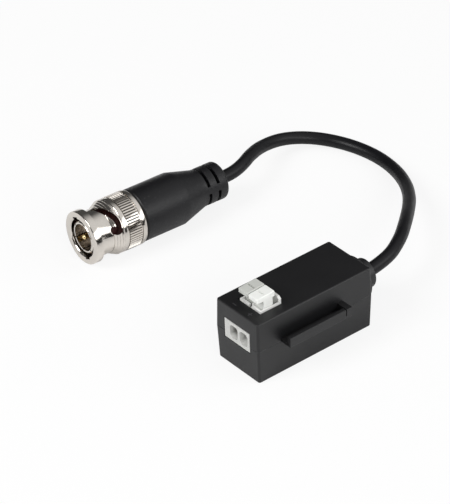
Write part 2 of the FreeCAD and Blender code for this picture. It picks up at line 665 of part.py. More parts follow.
def contact(x):
    """A current bar: an upright plate, a bar over the wire and a pin through the board."""
    x0 = x - CHAMBER_WIDTH / 2 + FIT_GAP
    y0 = contact_front()
    y1 = y0 + CONTACT_LENGTH
    foot = CHAMBER_BOTTOM + FACE_GAP
    plate = block(x0, x0 + CONTACT_THICKNESS, y0, y1, foot, CONTACT_HEIGHT)
    bar = block(x0, x0 + CONTACT_WIDTH, y0, y1, CONTACT_HEIGHT - CONTACT_THICKNESS, CONTACT_HEIGHT)
    middle = (y0 + y1) / 2
    pin = block(x0, x0 + CONTACT_THICKNESS, middle - PIN_WIDTH / 2, middle + PIN_WIDTH / 2,
                BOARD_BOTTOM - PIN_TAIL, foot + FACE_GAP)
    joined = plate.fuse([bar, pin]).removeSplitter()
    corner = [e for e in joined.Edges if e.BoundBox.YLength > CONTACT_LENGTH / 2
              and abs(e.BoundBox.Center.x - x0) < FACE_GAP / 2
              and abs(e.BoundBox.Center.z - CONTACT_HEIGHT) < FACE_GAP / 2]
    return joined.makeFillet(CONTACT_THICKNESS * 0.8, corner)


# The board and what it carries


def board_half_width():
    """Half of the board's width."""
    return lower_half_width(BOARD_BOTTOM) - BOARD_SIDE_GAP


def circuit_board():
    """The board, with holes for the terminal's two pins."""
    half = board_half_width()
    board = block(-half, half, BOARD_START, BOARD_END_Y, BOARD_BOTTOM, BOARD_TOP)
    board = board.makeFillet(CORNER_RADIUS, upright_edges(board))
    middle = contact_front() + CONTACT_LENGTH / 2
    holes = []
    for x in POLES.values():
        centre = x - CHAMBER_WIDTH / 2 + FIT_GAP + CONTACT_THICKNESS / 2
        holes.append(rod(PIN_WIDTH / 2 + PIN_HOLE_GAP, (centre, middle, BOARD_BOTTOM - OVERSHOOT),
                         (0, 0, 1), BOARD_THICKNESS + 2 * OVERSHOOT))
    return board.cut(holes)


def core_bottom():
    """The height at which the ferrite ring lies on its windings."""
    return BOARD_TOP + WINDING_THICKNESS + 2 * WINDING_GAP


def transformer_core():
    """A ferrite ring that lies on the board."""
    base = V(CORE_X, CORE_Y, core_bottom())
    ring = Part.makeCylinder(CORE_RADIUS, CORE_HEIGHT, base)
    ring = ring.cut(Part.makeCylinder(CORE_HOLE, CORE_HEIGHT, base))
    rims = [e for e in ring.Edges if isinstance(e.Curve, Part.Circle)]
    return ring.makeChamfer(WINDING_GAP * 2, rims)


def transformer_windings():
    """Two windings on opposite sides of the ring, each turn a flat loop round its section."""
    inner = CORE_HOLE - WINDING_GAP
    outer = CORE_RADIUS + WINDING_GAP
    low = core_bottom() - WINDING_GAP
    high = core_bottom() + CORE_HEIGHT + WINDING_GAP
    grow = WINDING_THICKNESS
    frame = block(inner - grow, outer + grow, -WINDING_WIDTH / 2, WINDING_WIDTH / 2, low - grow, high + grow)
    frame = frame.makeFillet(grow * 0.8, [e for e in frame.Edges if e.BoundBox.YLength > WINDING_WIDTH / 2])
    turn = frame.cut(block(inner, outer, -WINDING_WIDTH, WINDING_WIDTH, low, high))
    turns = []
    for side in (0, 180):
        for i in range(WINDING_TURNS):
            angle = side + WINDING_SECTOR * (i / (WINDING_TURNS - 1) - 0.5)
            copy = turn.copy()
            copy.rotate(V(0, 0, 0), V(0, 0, 1), angle)
            copy.translate(V(CORE_X, CORE_Y, 0))
            turns.append(copy)
    return Part.makeCompound(turns)


def surge_suppressor():
    """A moulded two-lead part with leads folded under its ends."""
    width, length, height = SUPPRESSOR_SIZE
    x = board_half_width() - SUPPRESSOR_INSET
    y = CORE_Y + SUPPRESSOR_SETBACK
    lift = LEAD_FRAME / 2
    body = block(x - width / 2, x + width / 2, y - length / 2, y + length / 2,
                 BOARD_TOP + lift, BOARD_TOP + lift + height)
    sides = [e for e in body.Edges if abs(e.BoundBox.Center.z - BOARD_TOP - lift - height) < FACE_GAP]
    body = body.makeChamfer(LEAD_FRAME, sides)
    leads = []
    for side in (-1, 1):
        end = y + side * (length / 2 + LEAD_FRAME)
        root = y + side * (length / 2 - LEAD_FRAME)
        leads.append(block(x - width / 4, x + width / 4, min(end, root), max(end, root),
                           BOARD_TOP, BOARD_TOP + height / 2))
    return body.fuse(leads).removeSplitter()


def chips(setback):
    """Two small chip parts side by side on the board, at a distance behind the core's centre."""
    width, length, height = CHIP_SIZE
    x = CHIP_INSET - board_half_width()
    y = CORE_Y + setback
    row = []
    for i in range(2):
        centre = x + i * CHIP_SPACING
        chip = block(centre - width / 2, centre + width / 2, y - length / 2, y + length / 2,
                     BOARD_TOP, BOARD_TOP + height)
        row.append(chip.makeFillet(height / 8, chip.Edges))
    return Part.makeCompound(row)


# The strain relief and the stripped end of the lead


def cable_gland():
    """A rubber strain relief: a flange inside the wall, a disc outside it and a round nose."""
    flange_end = GLAND_SEAT_Y
    disc_start = BACK_Y + FACE_GAP
    disc_end = disc_start + GLAND_DISC
    bore = CABLE_RADIUS + FACE_GAP
    profile = [
        (flange_end - GLAND_FLANGE, bore),
        (flange_end - GLAND_FLANGE, GLAND_FLANGE_RADIUS),
        (flange_end, GLAND_FLANGE_RADIUS),
        (flange_end, GLAND_NECK_RADIUS),
        (disc_start, GLAND_NECK_RADIUS),
        (disc_start, GLAND_DISC_RADIUS),
        (disc_end - GLAND_ROUND, GLAND_DISC_RADIUS),
        round_corner(disc_end, GLAND_DISC_RADIUS, GLAND_ROUND, -1, False),
        (disc_end, GLAND_NOSE_RADIUS),
        (GLAND_END_Y - GLAND_ROUND, GLAND_NOSE_RADIUS),
        round_corner(GLAND_END_Y, GLAND_NOSE_RADIUS, GLAND_ROUND, -1, False),
        (GLAND_END_Y, bore),
    ]
    gland = turned(profile)
    gland.Placement = FreeCAD.Placement(V(0, 0, GLAND_Z), FreeCAD.Rotation(V(1, 0, 0), -90))
    return gland


def cable_end_housing():
    """The lead's jacket through the strain relief, with a short stretch of its bared core."""
    jacket = rod(CABLE_RADIUS, (0, JACKET_END_Y, GLAND_Z), (0, 1, 0), GLAND_END_Y - JACKET_END_Y)
    bared = rod(DIELECTRIC_RADIUS, (0, JACKET_END_Y - LEAD_BEND, GLAND_Z), (0, 1, 0), LEAD_BEND + FACE_GAP)
    return jacket.fuse(bared).removeSplitter()


def core_lead():
    """The centre conductor, bent down to its pad on the board."""
    start = V(0, JACKET_END_Y - LEAD_BEND, GLAND_Z)
    points = [
        start,
        V(0, LEAD_PAD_Y + LEAD_BEND, GLAND_Z),
        V(CORE_PAD_X, LEAD_PAD_Y, GLAND_Z - CONDUCTOR_RADIUS),
        V(CORE_PAD_X, LEAD_PAD_Y, BOARD_TOP),
    ]
    return tube(points, [CONDUCTOR_RADIUS * 1.2, CONDUCTOR_RADIUS * 2], CONDUCTOR_RADIUS)


def shield_lead():
    """The twisted screen, led aside and down to its pad on the board."""
    aside = DIELECTRIC_RADIUS + BRAID_RADIUS
    start = V(-aside, JACKET_END_Y - BRAID_RADIUS * 0.6, GLAND_Z - BRAID_RADIUS)
    points = [
        start,
        V(SHIELD_PAD_X, LEAD_PAD_Y, GLAND_Z - BRAID_RADIUS),
        V(SHIELD_PAD_X, LEAD_PAD_Y, BOARD_TOP),
    ]
    return tube(points, [BRAID_RADIUS * 1.4], BRAID_RADIUS)


# The free lead


def plug_axis():
    """The direction of the plug, from its nose to its boot."""
    return V(math.sin(math.radians(PLUG_YAW)), math.cos(math.radians(PLUG_YAW)), 0)


def plug_placement():
    """Turns a piece made along +Z, with +X up, to lie along the plug's axis."""
    axis = plug_axis()
    up = V(0, 0, 1)
    side = axis.cross(up)
    matrix = FreeCAD.Matrix(up.x, side.x, axis.x, PLUG_NOSE_X,
                            up.y, side.y, axis.y, PLUG_NOSE_Y,
                            up.z, side.z, axis.z, PLUG_AXIS_Z, 0, 0, 0, 1)
    return FreeCAD.Placement(matrix)


def cable_points():
    """The route's points: the gland, the hand-set points, and a straight run into the boot."""
    axis = plug_axis()
    boot_end = V(PLUG_NOSE_X, PLUG_NOSE_Y, PLUG_AXIS_Z) + axis * PLUG_LENGTH
    first = V(0, GLAND_END_Y, GLAND_Z)
    middle = [V(*place) for place in CABLE_ROUTE]
    return [first] + middle + [boot_end + axis * CABLE_LAST_RUN, boot_end]


def cable_radii(points):
    """The largest arc that the two runs at each inner point allow."""
    radii = []
    for i in range(1, len(points) - 1):
        before = points[i] - points[i - 1]
        after = points[i + 1] - points[i]
        turn = before.getAngle(after)
        radii.append(0.45 * min(before.Length, after.Length) / math.tan(turn / 2))
    return radii


def cable():
    """The free lead between the strain relief and the plug's boot."""
    points = cable_points()
    return tube(points, cable_radii(points), CABLE_RADIUS)


# The plug, made along +Z from the coupling ring's front face


def slot_run(start, end):
    """The cutter of one run of a bayonet slot, a channel that climbs evenly round the ring."""
    angle, station = start
    sweep = end[0] - angle
    rise = end[1] - station
    slope = math.atan(rise / (NECK_RADIUS * math.radians(sweep)))
    half = SLOT_BLADE / 2 / math.cos(slope)
    inner = RING_BORE - OVERSHOOT / 2
    outer = RING_RADIUS + OVERSHOOT
    spine = Part.makeHelix(rise * 360 / sweep, rise, NECK_RADIUS)
    corners = [V(inner, 0, -half), V(outer, 0, -half), V(outer, 0, half), V(inner, 0, half)]
    channel = Part.Wire(spine).makePipeShell([Part.makePolygon(corners + corners[:1])], True, True)
    channel.rotate(V(0, 0, 0), V(0, 0, 1), angle)
    channel.translate(V(0, 0, station))
    return channel


def radial_hole(angle, station, radius):
    """The cutter of a round hole through the ring's wall."""
    inner = RING_BORE - OVERSHOOT / 2
    outward = V(math.cos(math.radians(angle)), math.sin(math.radians(angle)), 0)
    start = outward * inner + V(0, 0, station)
    return Part.makeCylinder(radius, RING_RADIUS + OVERSHOOT - inner, start, outward)


def bayonet_cutters():
    """The cutters of both bayonet slots: entry notch, three runs with round joints, detent."""
    notch = block(0, NOTCH_RADIUS, -NOTCH_WIDTH / 2, NOTCH_WIDTH / 2, -OVERSHOOT, SLOT_PATH[0][1])
    notch.rotate(V(0, 0, 0), V(0, 0, 1), NOTCH_ANGLE)
    cutters = [notch]
    for i in range(len(SLOT_PATH) - 1):
        cutters.append(slot_run(SLOT_PATH[i], SLOT_PATH[i + 1]))
    for angle, station in SLOT_PATH:
        cutters.append(radial_hole(angle, station, SLOT_BLADE / 2 + FACE_GAP / 2))
    cutters.append(radial_hole(DETENT_ANGLE, DETENT_STATION, DETENT_RADIUS))
    opposite = [cutter.copy() for cutter in cutters]
    for cutter in opposite:
        cutter.rotate(V(0, 0, 0), V(0, 0, 1), 180)
    return cutters + opposite


def knurl_cutters():
    """Straight V grooves round the ring, left out over the plain patches."""
    step = 360 / KNURL_COUNT
    half = RING_RADIUS * math.radians(step) / 2 * 0.8
    tip = RING_RADIUS - KNURL_DEPTH
    crest = RING_RADIUS + KNURL_DEPTH
    z = KNURL_STATION
    corners = [V(tip, 0, z), V(crest, -half * 2, z), V(crest, half * 2, z)]
    groove = Part.Face(Part.makePolygon(corners + corners[:1])).extrude(V(0, 0, KNURL_LENGTH))
    cutters = []
    for i in range(KNURL_COUNT):
        off_patch = abs((i * step + 180 / KNURL_PATCHES) % (360 / KNURL_PATCHES) - 180 / KNURL_PATCHES)
        if off_patch < KNURL_PATCH_ANGLE / 2:
            continue
        cutter = groove.copy()
        cutter.rotate(V(0, 0, 0), V(0, 0, 1), KNURL_PATCH_CENTRE + i * step)
        cutters.append(cutter)
    return cutters


def flare_corners():
    """The half section of the stepped flare and of the plain band behind it."""
    rise = (BAND_RADIUS - FLARE_FRONT_RADIUS) / FLARE_STEPS
    corners = []
    for i in range(FLARE_STEPS):
        station = FLARE_STATION + i * FLARE_STEP_LENGTH
        radius = FLARE_FRONT_RADIUS + i * rise
        corners.append((station, radius))
        corners.append((station + FLARE_STEP_LENGTH, radius + rise - FLARE_LIP))
    line = BAND_STATION + BAND_LINE_PLACE
    corners.append((BAND_STATION, BAND_RADIUS))
    corners.append((line, BAND_RADIUS))
    corners.append((line + BAND_LINE_WIDTH / 2, BAND_RADIUS - BAND_LINE_DEPTH))
    corners.append((line + BAND_LINE_WIDTH, BAND_RADIUS))
    corners.append((BAND_STATION + BAND_LENGTH, BAND_RADIUS))
    return corners


def bayonet_ring():
    """The coupling ring: flange, neck with two bayonet slots, stepped flare, knurl and rear rim."""
    groove_radius = RING_RADIUS - KNURL_GROOVE
    cavity_station = BODY_FLANGE_STATION - FIT_GAP
    profile = [
        (0, RING_BORE + FLANGE_ROUND),
        (0, FLANGE_RADIUS - FLANGE_ROUND),
        round_corner(0, FLANGE_RADIUS, FLANGE_ROUND, 1, True),
        (FLANGE_LENGTH - FLANGE_CHAMFER, FLANGE_RADIUS),
        (FLANGE_LENGTH, FLANGE_RADIUS - FLANGE_CHAMFER),
        (FLANGE_LENGTH, NECK_RADIUS),
        (FLARE_STATION, NECK_RADIUS),
    ] + flare_corners() + [
        (BAND_STATION + BAND_LENGTH, groove_radius),
        (KNURL_STATION, groove_radius),
        (KNURL_STATION, RING_RADIUS),
        (KNURL_STATION + KNURL_LENGTH, RING_RADIUS),
        (KNURL_STATION + KNURL_LENGTH, groove_radius),
        (RIM_STATION, groove_radius),
        (RIM_STATION, RING_RADIUS),
        (RING_LENGTH - RIM_ROUND, RING_RADIUS),
        round_corner(RING_LENGTH, RING_RADIUS, RIM_ROUND, -1, False),
        (RING_LENGTH, RING_CAVITY_RADIUS),
        (cavity_station, RING_CAVITY_RADIUS),
        (cavity_station, RING_BORE),
        (FLANGE_ROUND, RING_BORE),
    ]
    ring = turned(profile).cut(knurl_cutters())
    for cutter in bayonet_cutters():
        ring = ring.cut(cutter)
    return ring


def plug_body():
    """The still body: slotted contact sleeve, flange, hub and crimp stem in one turned piece."""
    flange_end = BODY_FLANGE_STATION + BODY_FLANGE
    hub_end = BOOT_STATION + BODY_GAP
    stem_end = hub_end + CRIMP_STEM_LENGTH
    insulator_seat = hub_end - OVERSHOOT
    lip = SLEEVE_RADIUS - SLEEVE_BORE
    profile = [
        (SLEEVE_SETBACK, SLEEVE_BORE),
        (SLEEVE_SETBACK, SLEEVE_RADIUS - lip / 3),
        (SLEEVE_SETBACK + lip / 3, SLEEVE_RADIUS),
        (BODY_FLANGE_STATION, SLEEVE_RADIUS),
        (BODY_FLANGE_STATION, RING_CAVITY_RADIUS - FIT_GAP),
        (flange_end, RING_CAVITY_RADIUS - FIT_GAP),
        (flange_end, BODY_HUB_RADIUS),
        (hub_end, BODY_HUB_RADIUS),
        (hub_end, CRIMP_STEM_RADIUS),
        (stem_end, CRIMP_STEM_RADIUS),
        (stem_end, CRIMP_STEM_BORE),
        (insulator_seat, CRIMP_STEM_BORE),
        (insulator_seat, SLEEVE_BORE),
    ]
    body = turned(profile)
    slits = []
    for i in range(SLEEVE_SLITS):
        slit = block(SLEEVE_BORE - lip, SLEEVE_RADIUS + lip, -SLEEVE_SLIT_WIDTH / 2, SLEEVE_SLIT_WIDTH / 2,
                     0, SLEEVE_SETBACK + SLEEVE_SLIT_LENGTH)
        slit.rotate(V(0, 0, 0), V(0, 0, 1), SLEEVE_SLIT_ANGLE + i * 360 / SLEEVE_SLITS)
        slits.append(slit)
    return body.cut(slits)


def gasket():
    """The silicone seal: a thin skirt round the contact sleeve and a thicker lip at its root."""
    inner = SLEEVE_RADIUS + FACE_GAP
    end = BODY_FLANGE_STATION - FACE_GAP
    lip_start = end - GASKET_LIP
    outer = RING_BORE - FIT_GAP
    return turned([(GASKET_START, inner), (GASKET_START, GASKET_SKIRT_RADIUS),
                   (lip_start, GASKET_SKIRT_RADIUS), (lip_start, outer), (end, outer), (end, inner)])


def plug_insulator():
    """The dielectric that carries the centre pin."""
    end = BOOT_STATION + BODY_GAP - OVERSHOOT - FACE_GAP
    seat = INSULATOR_FRONT + INSULATOR_LIP - FACE_GAP
    step = end - 2 * OVERSHOOT
    outer = SLEEVE_BORE - FACE_GAP
    return turned([(INSULATOR_FRONT, PIN_RADIUS + FACE_GAP), (INSULATOR_FRONT, outer), (step, outer),
                   (step, INSULATOR_REAR_RADIUS), (end, INSULATOR_REAR_RADIUS),
                   (end, PIN_SHOULDER_RADIUS + FACE_GAP), (seat, PIN_SHOULDER_RADIUS + FACE_GAP),
                   (seat, PIN_RADIUS + FACE_GAP)])


def centre_pin():
    """The contact pin, with a rounded tip, a thicker root and a crimp bore for the conductor."""
    end = BOOT_STATION + BODY_GAP
    seat = INSULATOR_FRONT + INSULATOR_LIP
    tip_end = PIN_SETBACK + PIN_RADIUS
    slant = PIN_RADIUS * math.sqrt(0.5)
    profile = [
        (PIN_SETBACK, 0),
        ((tip_end - slant, slant), (tip_end, PIN_RADIUS)),
        (seat, PIN_RADIUS),
        (seat, PIN_SHOULDER_RADIUS),
        (end, PIN_SHOULDER_RADIUS),
        (end, PIN_SOCKET),
        (end - 2 * OVERSHOOT, PIN_SOCKET),
        (end - 2 * OVERSHOOT, 0),
    ]
    return turned(profile)


def cable_end_plug():
    """The lead inside the boot: jacket, bared core and the conductor in the pin."""
    jacket_start = BOOT_STATION + BODY_GAP + CRIMP_STEM_LENGTH + OVERSHOOT
    pin_end = BOOT_STATION + BODY_GAP
    conductor_start = pin_end - OVERSHOOT
    core_start = pin_end + FIT_GAP
    profile = [
        (conductor_start, 0),
        (conductor_start, CONDUCTOR_RADIUS),
        (core_start, CONDUCTOR_RADIUS),
        (core_start, DIELECTRIC_RADIUS),
        (jacket_start, DIELECTRIC_RADIUS),
        (jacket_start, CABLE_RADIUS),
        (PLUG_LENGTH, CABLE_RADIUS),
        (PLUG_LENGTH, 0),
    ]
    return turned(profile)


def crimp_ferrule():
    """The sleeve that is crimped over the screen on the body's stem."""
    return flat_washer(BOOT_STATION + BODY_GAP + FIT_GAP, FERRULE_LENGTH, FERRULE_BORE, FERRULE_RADIUS)


def wave_washer():
    """The spring washer behind the body's flange, its rim rising and falling round the axis."""
    inner = BODY_HUB_RADIUS + FIT_GAP
    outer = RING_CAVITY_RADIUS - FIT_GAP
    station = BODY_FLANGE_STATION + BODY_FLANGE + FACE_GAP + WAVE_HEIGHT / 2
    steps = 8 * WAVE_COUNT
    sections = []
    for i in range(steps):
        angle = 2 * math.pi * i / steps
        z = station + WAVE_HEIGHT / 2 * math.sin(WAVE_COUNT * angle)
        out = V(math.cos(angle), math.sin(angle), 0)
        corners = [out * inner + V(0, 0, z), out * outer + V(0, 0, z),
                   out * outer + V(0, 0, z + WAVE_THICKNESS), out * inner + V(0, 0, z + WAVE_THICKNESS)]
        sections.append(Part.makePolygon(corners + corners[:1]))
    return Part.makeLoft(sections, True, True, True)


def thrust_station():
    """The front face of the flat washer behind the spring washer."""
    return BODY_FLANGE_STATION + BODY_FLANGE + 2 * FACE_GAP + WAVE_HEIGHT + WAVE_THICKNESS


def flat_washer(start, length, inner, outer):
    """A flat ring about the plug's axis."""
    return turned([(start, inner), (start, outer), (start + length, outer), (start + length, inner)])


def plug_boot():
    """The moulded boot: cylinder, taper and a collar with two rings of flexing slots."""
    start = BOOT_STATION
    taper_start = start + BOOT_CYLINDER
    taper_end = taper_start + BOOT_TAPER
    hub_end = BOOT_STATION + BODY_GAP
    ferrule_end = hub_end + 2 * FIT_GAP + FERRULE_LENGTH
    profile = [
        (start, BODY_HUB_RADIUS + FIT_GAP),
        (start, BOOT_RADIUS - BOOT_FRONT_CHAMFER),
        (start + BOOT_FRONT_CHAMFER, BOOT_RADIUS),
        (taper_start, BOOT_RADIUS),
        (taper_end, BOOT_END_RADIUS),
        (PLUG_LENGTH - BOOT_END_ROUND, BOOT_END_RADIUS),
        round_corner(PLUG_LENGTH, BOOT_END_RADIUS, BOOT_END_ROUND, -1, False),
        (PLUG_LENGTH, CABLE_RADIUS + FACE_GAP),
        (ferrule_end, CABLE_RADIUS + FACE_GAP),
        (ferrule_end, FERRULE_RADIUS + FACE_GAP),
        (hub_end + FACE_GAP, FERRULE_RADIUS + FACE_GAP),
        (hub_end + FACE_GAP, BODY_HUB_RADIUS + FIT_GAP),
    ]
    boot = turned(profile)
    cutters = []
    for station in BOOT_SLOT_STATIONS:
        ring = flat_washer(station - BOOT_SLOT_WIDTH / 2, BOOT_SLOT_WIDTH,
                           BOOT_END_RADIUS - BOOT_SLOT_DEPTH, BOOT_RADIUS)
        bridge = block(-BOOT_BRIDGE_WIDTH / 2, BOOT_BRIDGE_WIDTH / 2, -BOOT_RADIUS - OVERSHOOT,
                       BOOT_RADIUS + OVERSHOOT, station - BOOT_SLOT_WIDTH, station + BOOT_SLOT_WIDTH)
        bridge.rotate(V(0, 0, 0), V(0, 0, 1), BOOT_BRIDGE_ANGLE - 90)
        cutters.append(ring.cut(bridge))
    return boot.cut(cutters)


def place_on_plug(shape):
    """Moves a piece of the plug to where the plug lies."""
    shape.Placement = plug_placement().multiply(shape.Placement)
    return shape


PARTS["upper_shell"] = upper_shell()
PARTS["lower_shell"] = lower_shell()
PARTS["terminal_body"] = terminal_body()
for pole, pole_x in POLES.items():
    PARTS["lever_" + pole] = lever(pole_x)
    PARTS["clamp_spring_" + pole] = clamp_spring(pole_x)
    PARTS["contact_" + pole] = contact(pole_x)
PARTS["circuit_board"] = circuit_board()
PARTS["transformer_core"] = transformer_core()
PARTS["transformer_windings"] = transformer_windings()
PARTS["surge_suppressor"] = surge_suppressor()
PARTS["chip_resistors"] = chips(RESISTOR_SETBACK)
PARTS["chip_capacitors"] = chips(CAPACITOR_SETBACK)
PARTS["cable_gland"] = cable_gland()
PARTS["cable_end_housing"] = cable_end_housing()
PARTS["core_lead"] = core_lead()
PARTS["shield_lead"] = shield_lead()
PARTS["cable"] = cable()

thrust = thrust_station()
retainer = thrust + WASHER_THICKNESS + FIT_GAP
PLUG_PARTS = {
    "bayonet_ring": bayonet_ring(),
    "plug_body": plug_body(),
    "gasket": gasket(),
    "plug_insulator": plug_insulator(),
    "centre_pin": centre_pin(),
    "cable_end_plug": cable_end_plug(),
    "crimp_ferrule": crimp_ferrule(),
    "wave_washer": wave_washer(),
    "thrust_washer": flat_washer(thrust, WASHER_THICKNESS, BODY_HUB_RADIUS + FIT_GAP,
                                 RING_CAVITY_RADIUS - FIT_GAP),
    "retaining_ring": flat_washer(retainer, RETAINER_LENGTH, BODY_HUB_RADIUS + 2 * FIT_GAP,
                                  RING_CAVITY_RADIUS - FACE_GAP / 2),
    "plug_boot": plug_boot(),
}
for name, shape in PLUG_PARTS.items():
    PARTS[name] = place_on_plug(shape)

os.makedirs("parts", exist_ok=True)
for name, shape in PARTS.items():
    print(name, "valid", shape.isValid(), "solids", len(shape.Solids), "volume", round(shape.Volume, 2))
    shape.exportStep("parts/" + name + ".step")

route = cable_points()
print("lead radii", [round(r, 1) for r in cable_radii(route)])
print("lead length", round(bent_path(route, cable_radii(route)).Length, 1),
      "volume over section", round(PARTS["cable"].Volume / (math.pi * CABLE_RADIUS ** 2), 1))
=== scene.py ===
"""Looks of a small passive video balun: moulded housing, press terminal, short lead and bayonet plug.

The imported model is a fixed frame. Pieces here are finer skins of its nodes, the free lead on one smooth
curve, the small signs on the housing, and the finish of every surface. Metres throughout; the origin is
the centre of the housing's base, +X is the rail's side, +Y is where the lead leaves and +Z is up.
"""

import json
import logging
import math
from dataclasses import dataclass, field
from enum import Enum
from typing import Any, Iterable

import bmesh
import bpy
from mathutils import Matrix, Vector

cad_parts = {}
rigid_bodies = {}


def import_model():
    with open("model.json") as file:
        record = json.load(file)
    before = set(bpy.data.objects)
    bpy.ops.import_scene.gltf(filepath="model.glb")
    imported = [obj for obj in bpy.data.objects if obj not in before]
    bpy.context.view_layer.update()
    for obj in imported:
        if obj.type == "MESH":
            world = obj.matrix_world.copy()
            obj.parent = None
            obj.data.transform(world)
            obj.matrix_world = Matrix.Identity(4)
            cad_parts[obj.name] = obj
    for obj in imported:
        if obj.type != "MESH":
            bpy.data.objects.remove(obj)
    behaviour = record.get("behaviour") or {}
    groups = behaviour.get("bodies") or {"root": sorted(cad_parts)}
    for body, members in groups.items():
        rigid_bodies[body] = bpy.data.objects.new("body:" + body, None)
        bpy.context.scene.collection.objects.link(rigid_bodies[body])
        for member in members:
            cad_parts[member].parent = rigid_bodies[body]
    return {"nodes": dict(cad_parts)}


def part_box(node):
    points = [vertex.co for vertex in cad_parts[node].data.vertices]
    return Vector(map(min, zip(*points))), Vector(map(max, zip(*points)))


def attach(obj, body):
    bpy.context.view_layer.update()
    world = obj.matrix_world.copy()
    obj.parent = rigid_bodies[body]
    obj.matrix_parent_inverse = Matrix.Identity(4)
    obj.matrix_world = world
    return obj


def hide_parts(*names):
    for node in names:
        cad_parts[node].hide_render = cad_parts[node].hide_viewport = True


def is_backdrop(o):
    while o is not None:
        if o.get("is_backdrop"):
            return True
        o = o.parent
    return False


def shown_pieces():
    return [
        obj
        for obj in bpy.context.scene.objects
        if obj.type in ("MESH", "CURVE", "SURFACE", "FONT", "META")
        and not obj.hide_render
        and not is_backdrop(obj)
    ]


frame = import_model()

MM = 0.001
BODY = "balun"
LOG = logging.getLogger("balun")
Colour = tuple[float, float, float]


class Slot(Enum):
    """The record's material slots that the pieces take their finish from."""

    HOUSING = "housing_plastic"
    TERMINAL = "terminal_plastic"
    LEVER = "lever_plastic"
    SPRING = "spring_steel"
    TINNED = "tinned_metal"
    BOARD = "board_laminate"
    FERRITE = "ferrite"
    WINDING = "winding_wire"
    BLACK_PART = "component_black"
    TAN_PART = "component_tan"
    GLAND = "gland_rubber"
    JACKET = "cable_jacket"
    NICKEL = "nickel_plate"
    SEAL = "seal_silicone"
    INSULATOR = "insulator_white"
    GOLD = "gold_plate"
    BOOT = "boot_plastic"


class Signal:
    """A socket of a shader graph that can be used in Python arithmetic."""

    def __init__(self, graph: "Graph", socket: bpy.types.NodeSocket) -> None:
        """Wraps one output socket of the graph."""
        self.graph = graph
        self.socket = socket

    def __add__(self, other: "Signal | float") -> "Signal":
        """Adds a signal or a number."""
        return self.graph.maths("ADD", self, other)

    def __radd__(self, other: float) -> "Signal":
        """Adds to a number."""
        return self.graph.maths("ADD", other, self)

    def __sub__(self, other: "Signal | float") -> "Signal":
        """Takes away a signal or a number."""
        return self.graph.maths("SUBTRACT", self, other)

    def __rsub__(self, other: float) -> "Signal":
        """Takes this signal away from a number."""
        return self.graph.maths("SUBTRACT", other, self)

    def __mul__(self, other: "Signal | float") -> "Signal":
        """Multiplies by a signal or a number."""
        return self.graph.maths("MULTIPLY", self, other)

    def __rmul__(self, other: float) -> "Signal":
        """Multiplies a number by this signal."""
        return self.graph.maths("MULTIPLY", other, self)

    def __truediv__(self, other: "Signal | float") -> "Signal":
        """Divides by a signal or a number."""
        return self.graph.maths("DIVIDE", self, other)

    def __rtruediv__(self, other: float) -> "Signal":
        """Divides a number by this signal."""
        return self.graph.maths("DIVIDE", other, self)


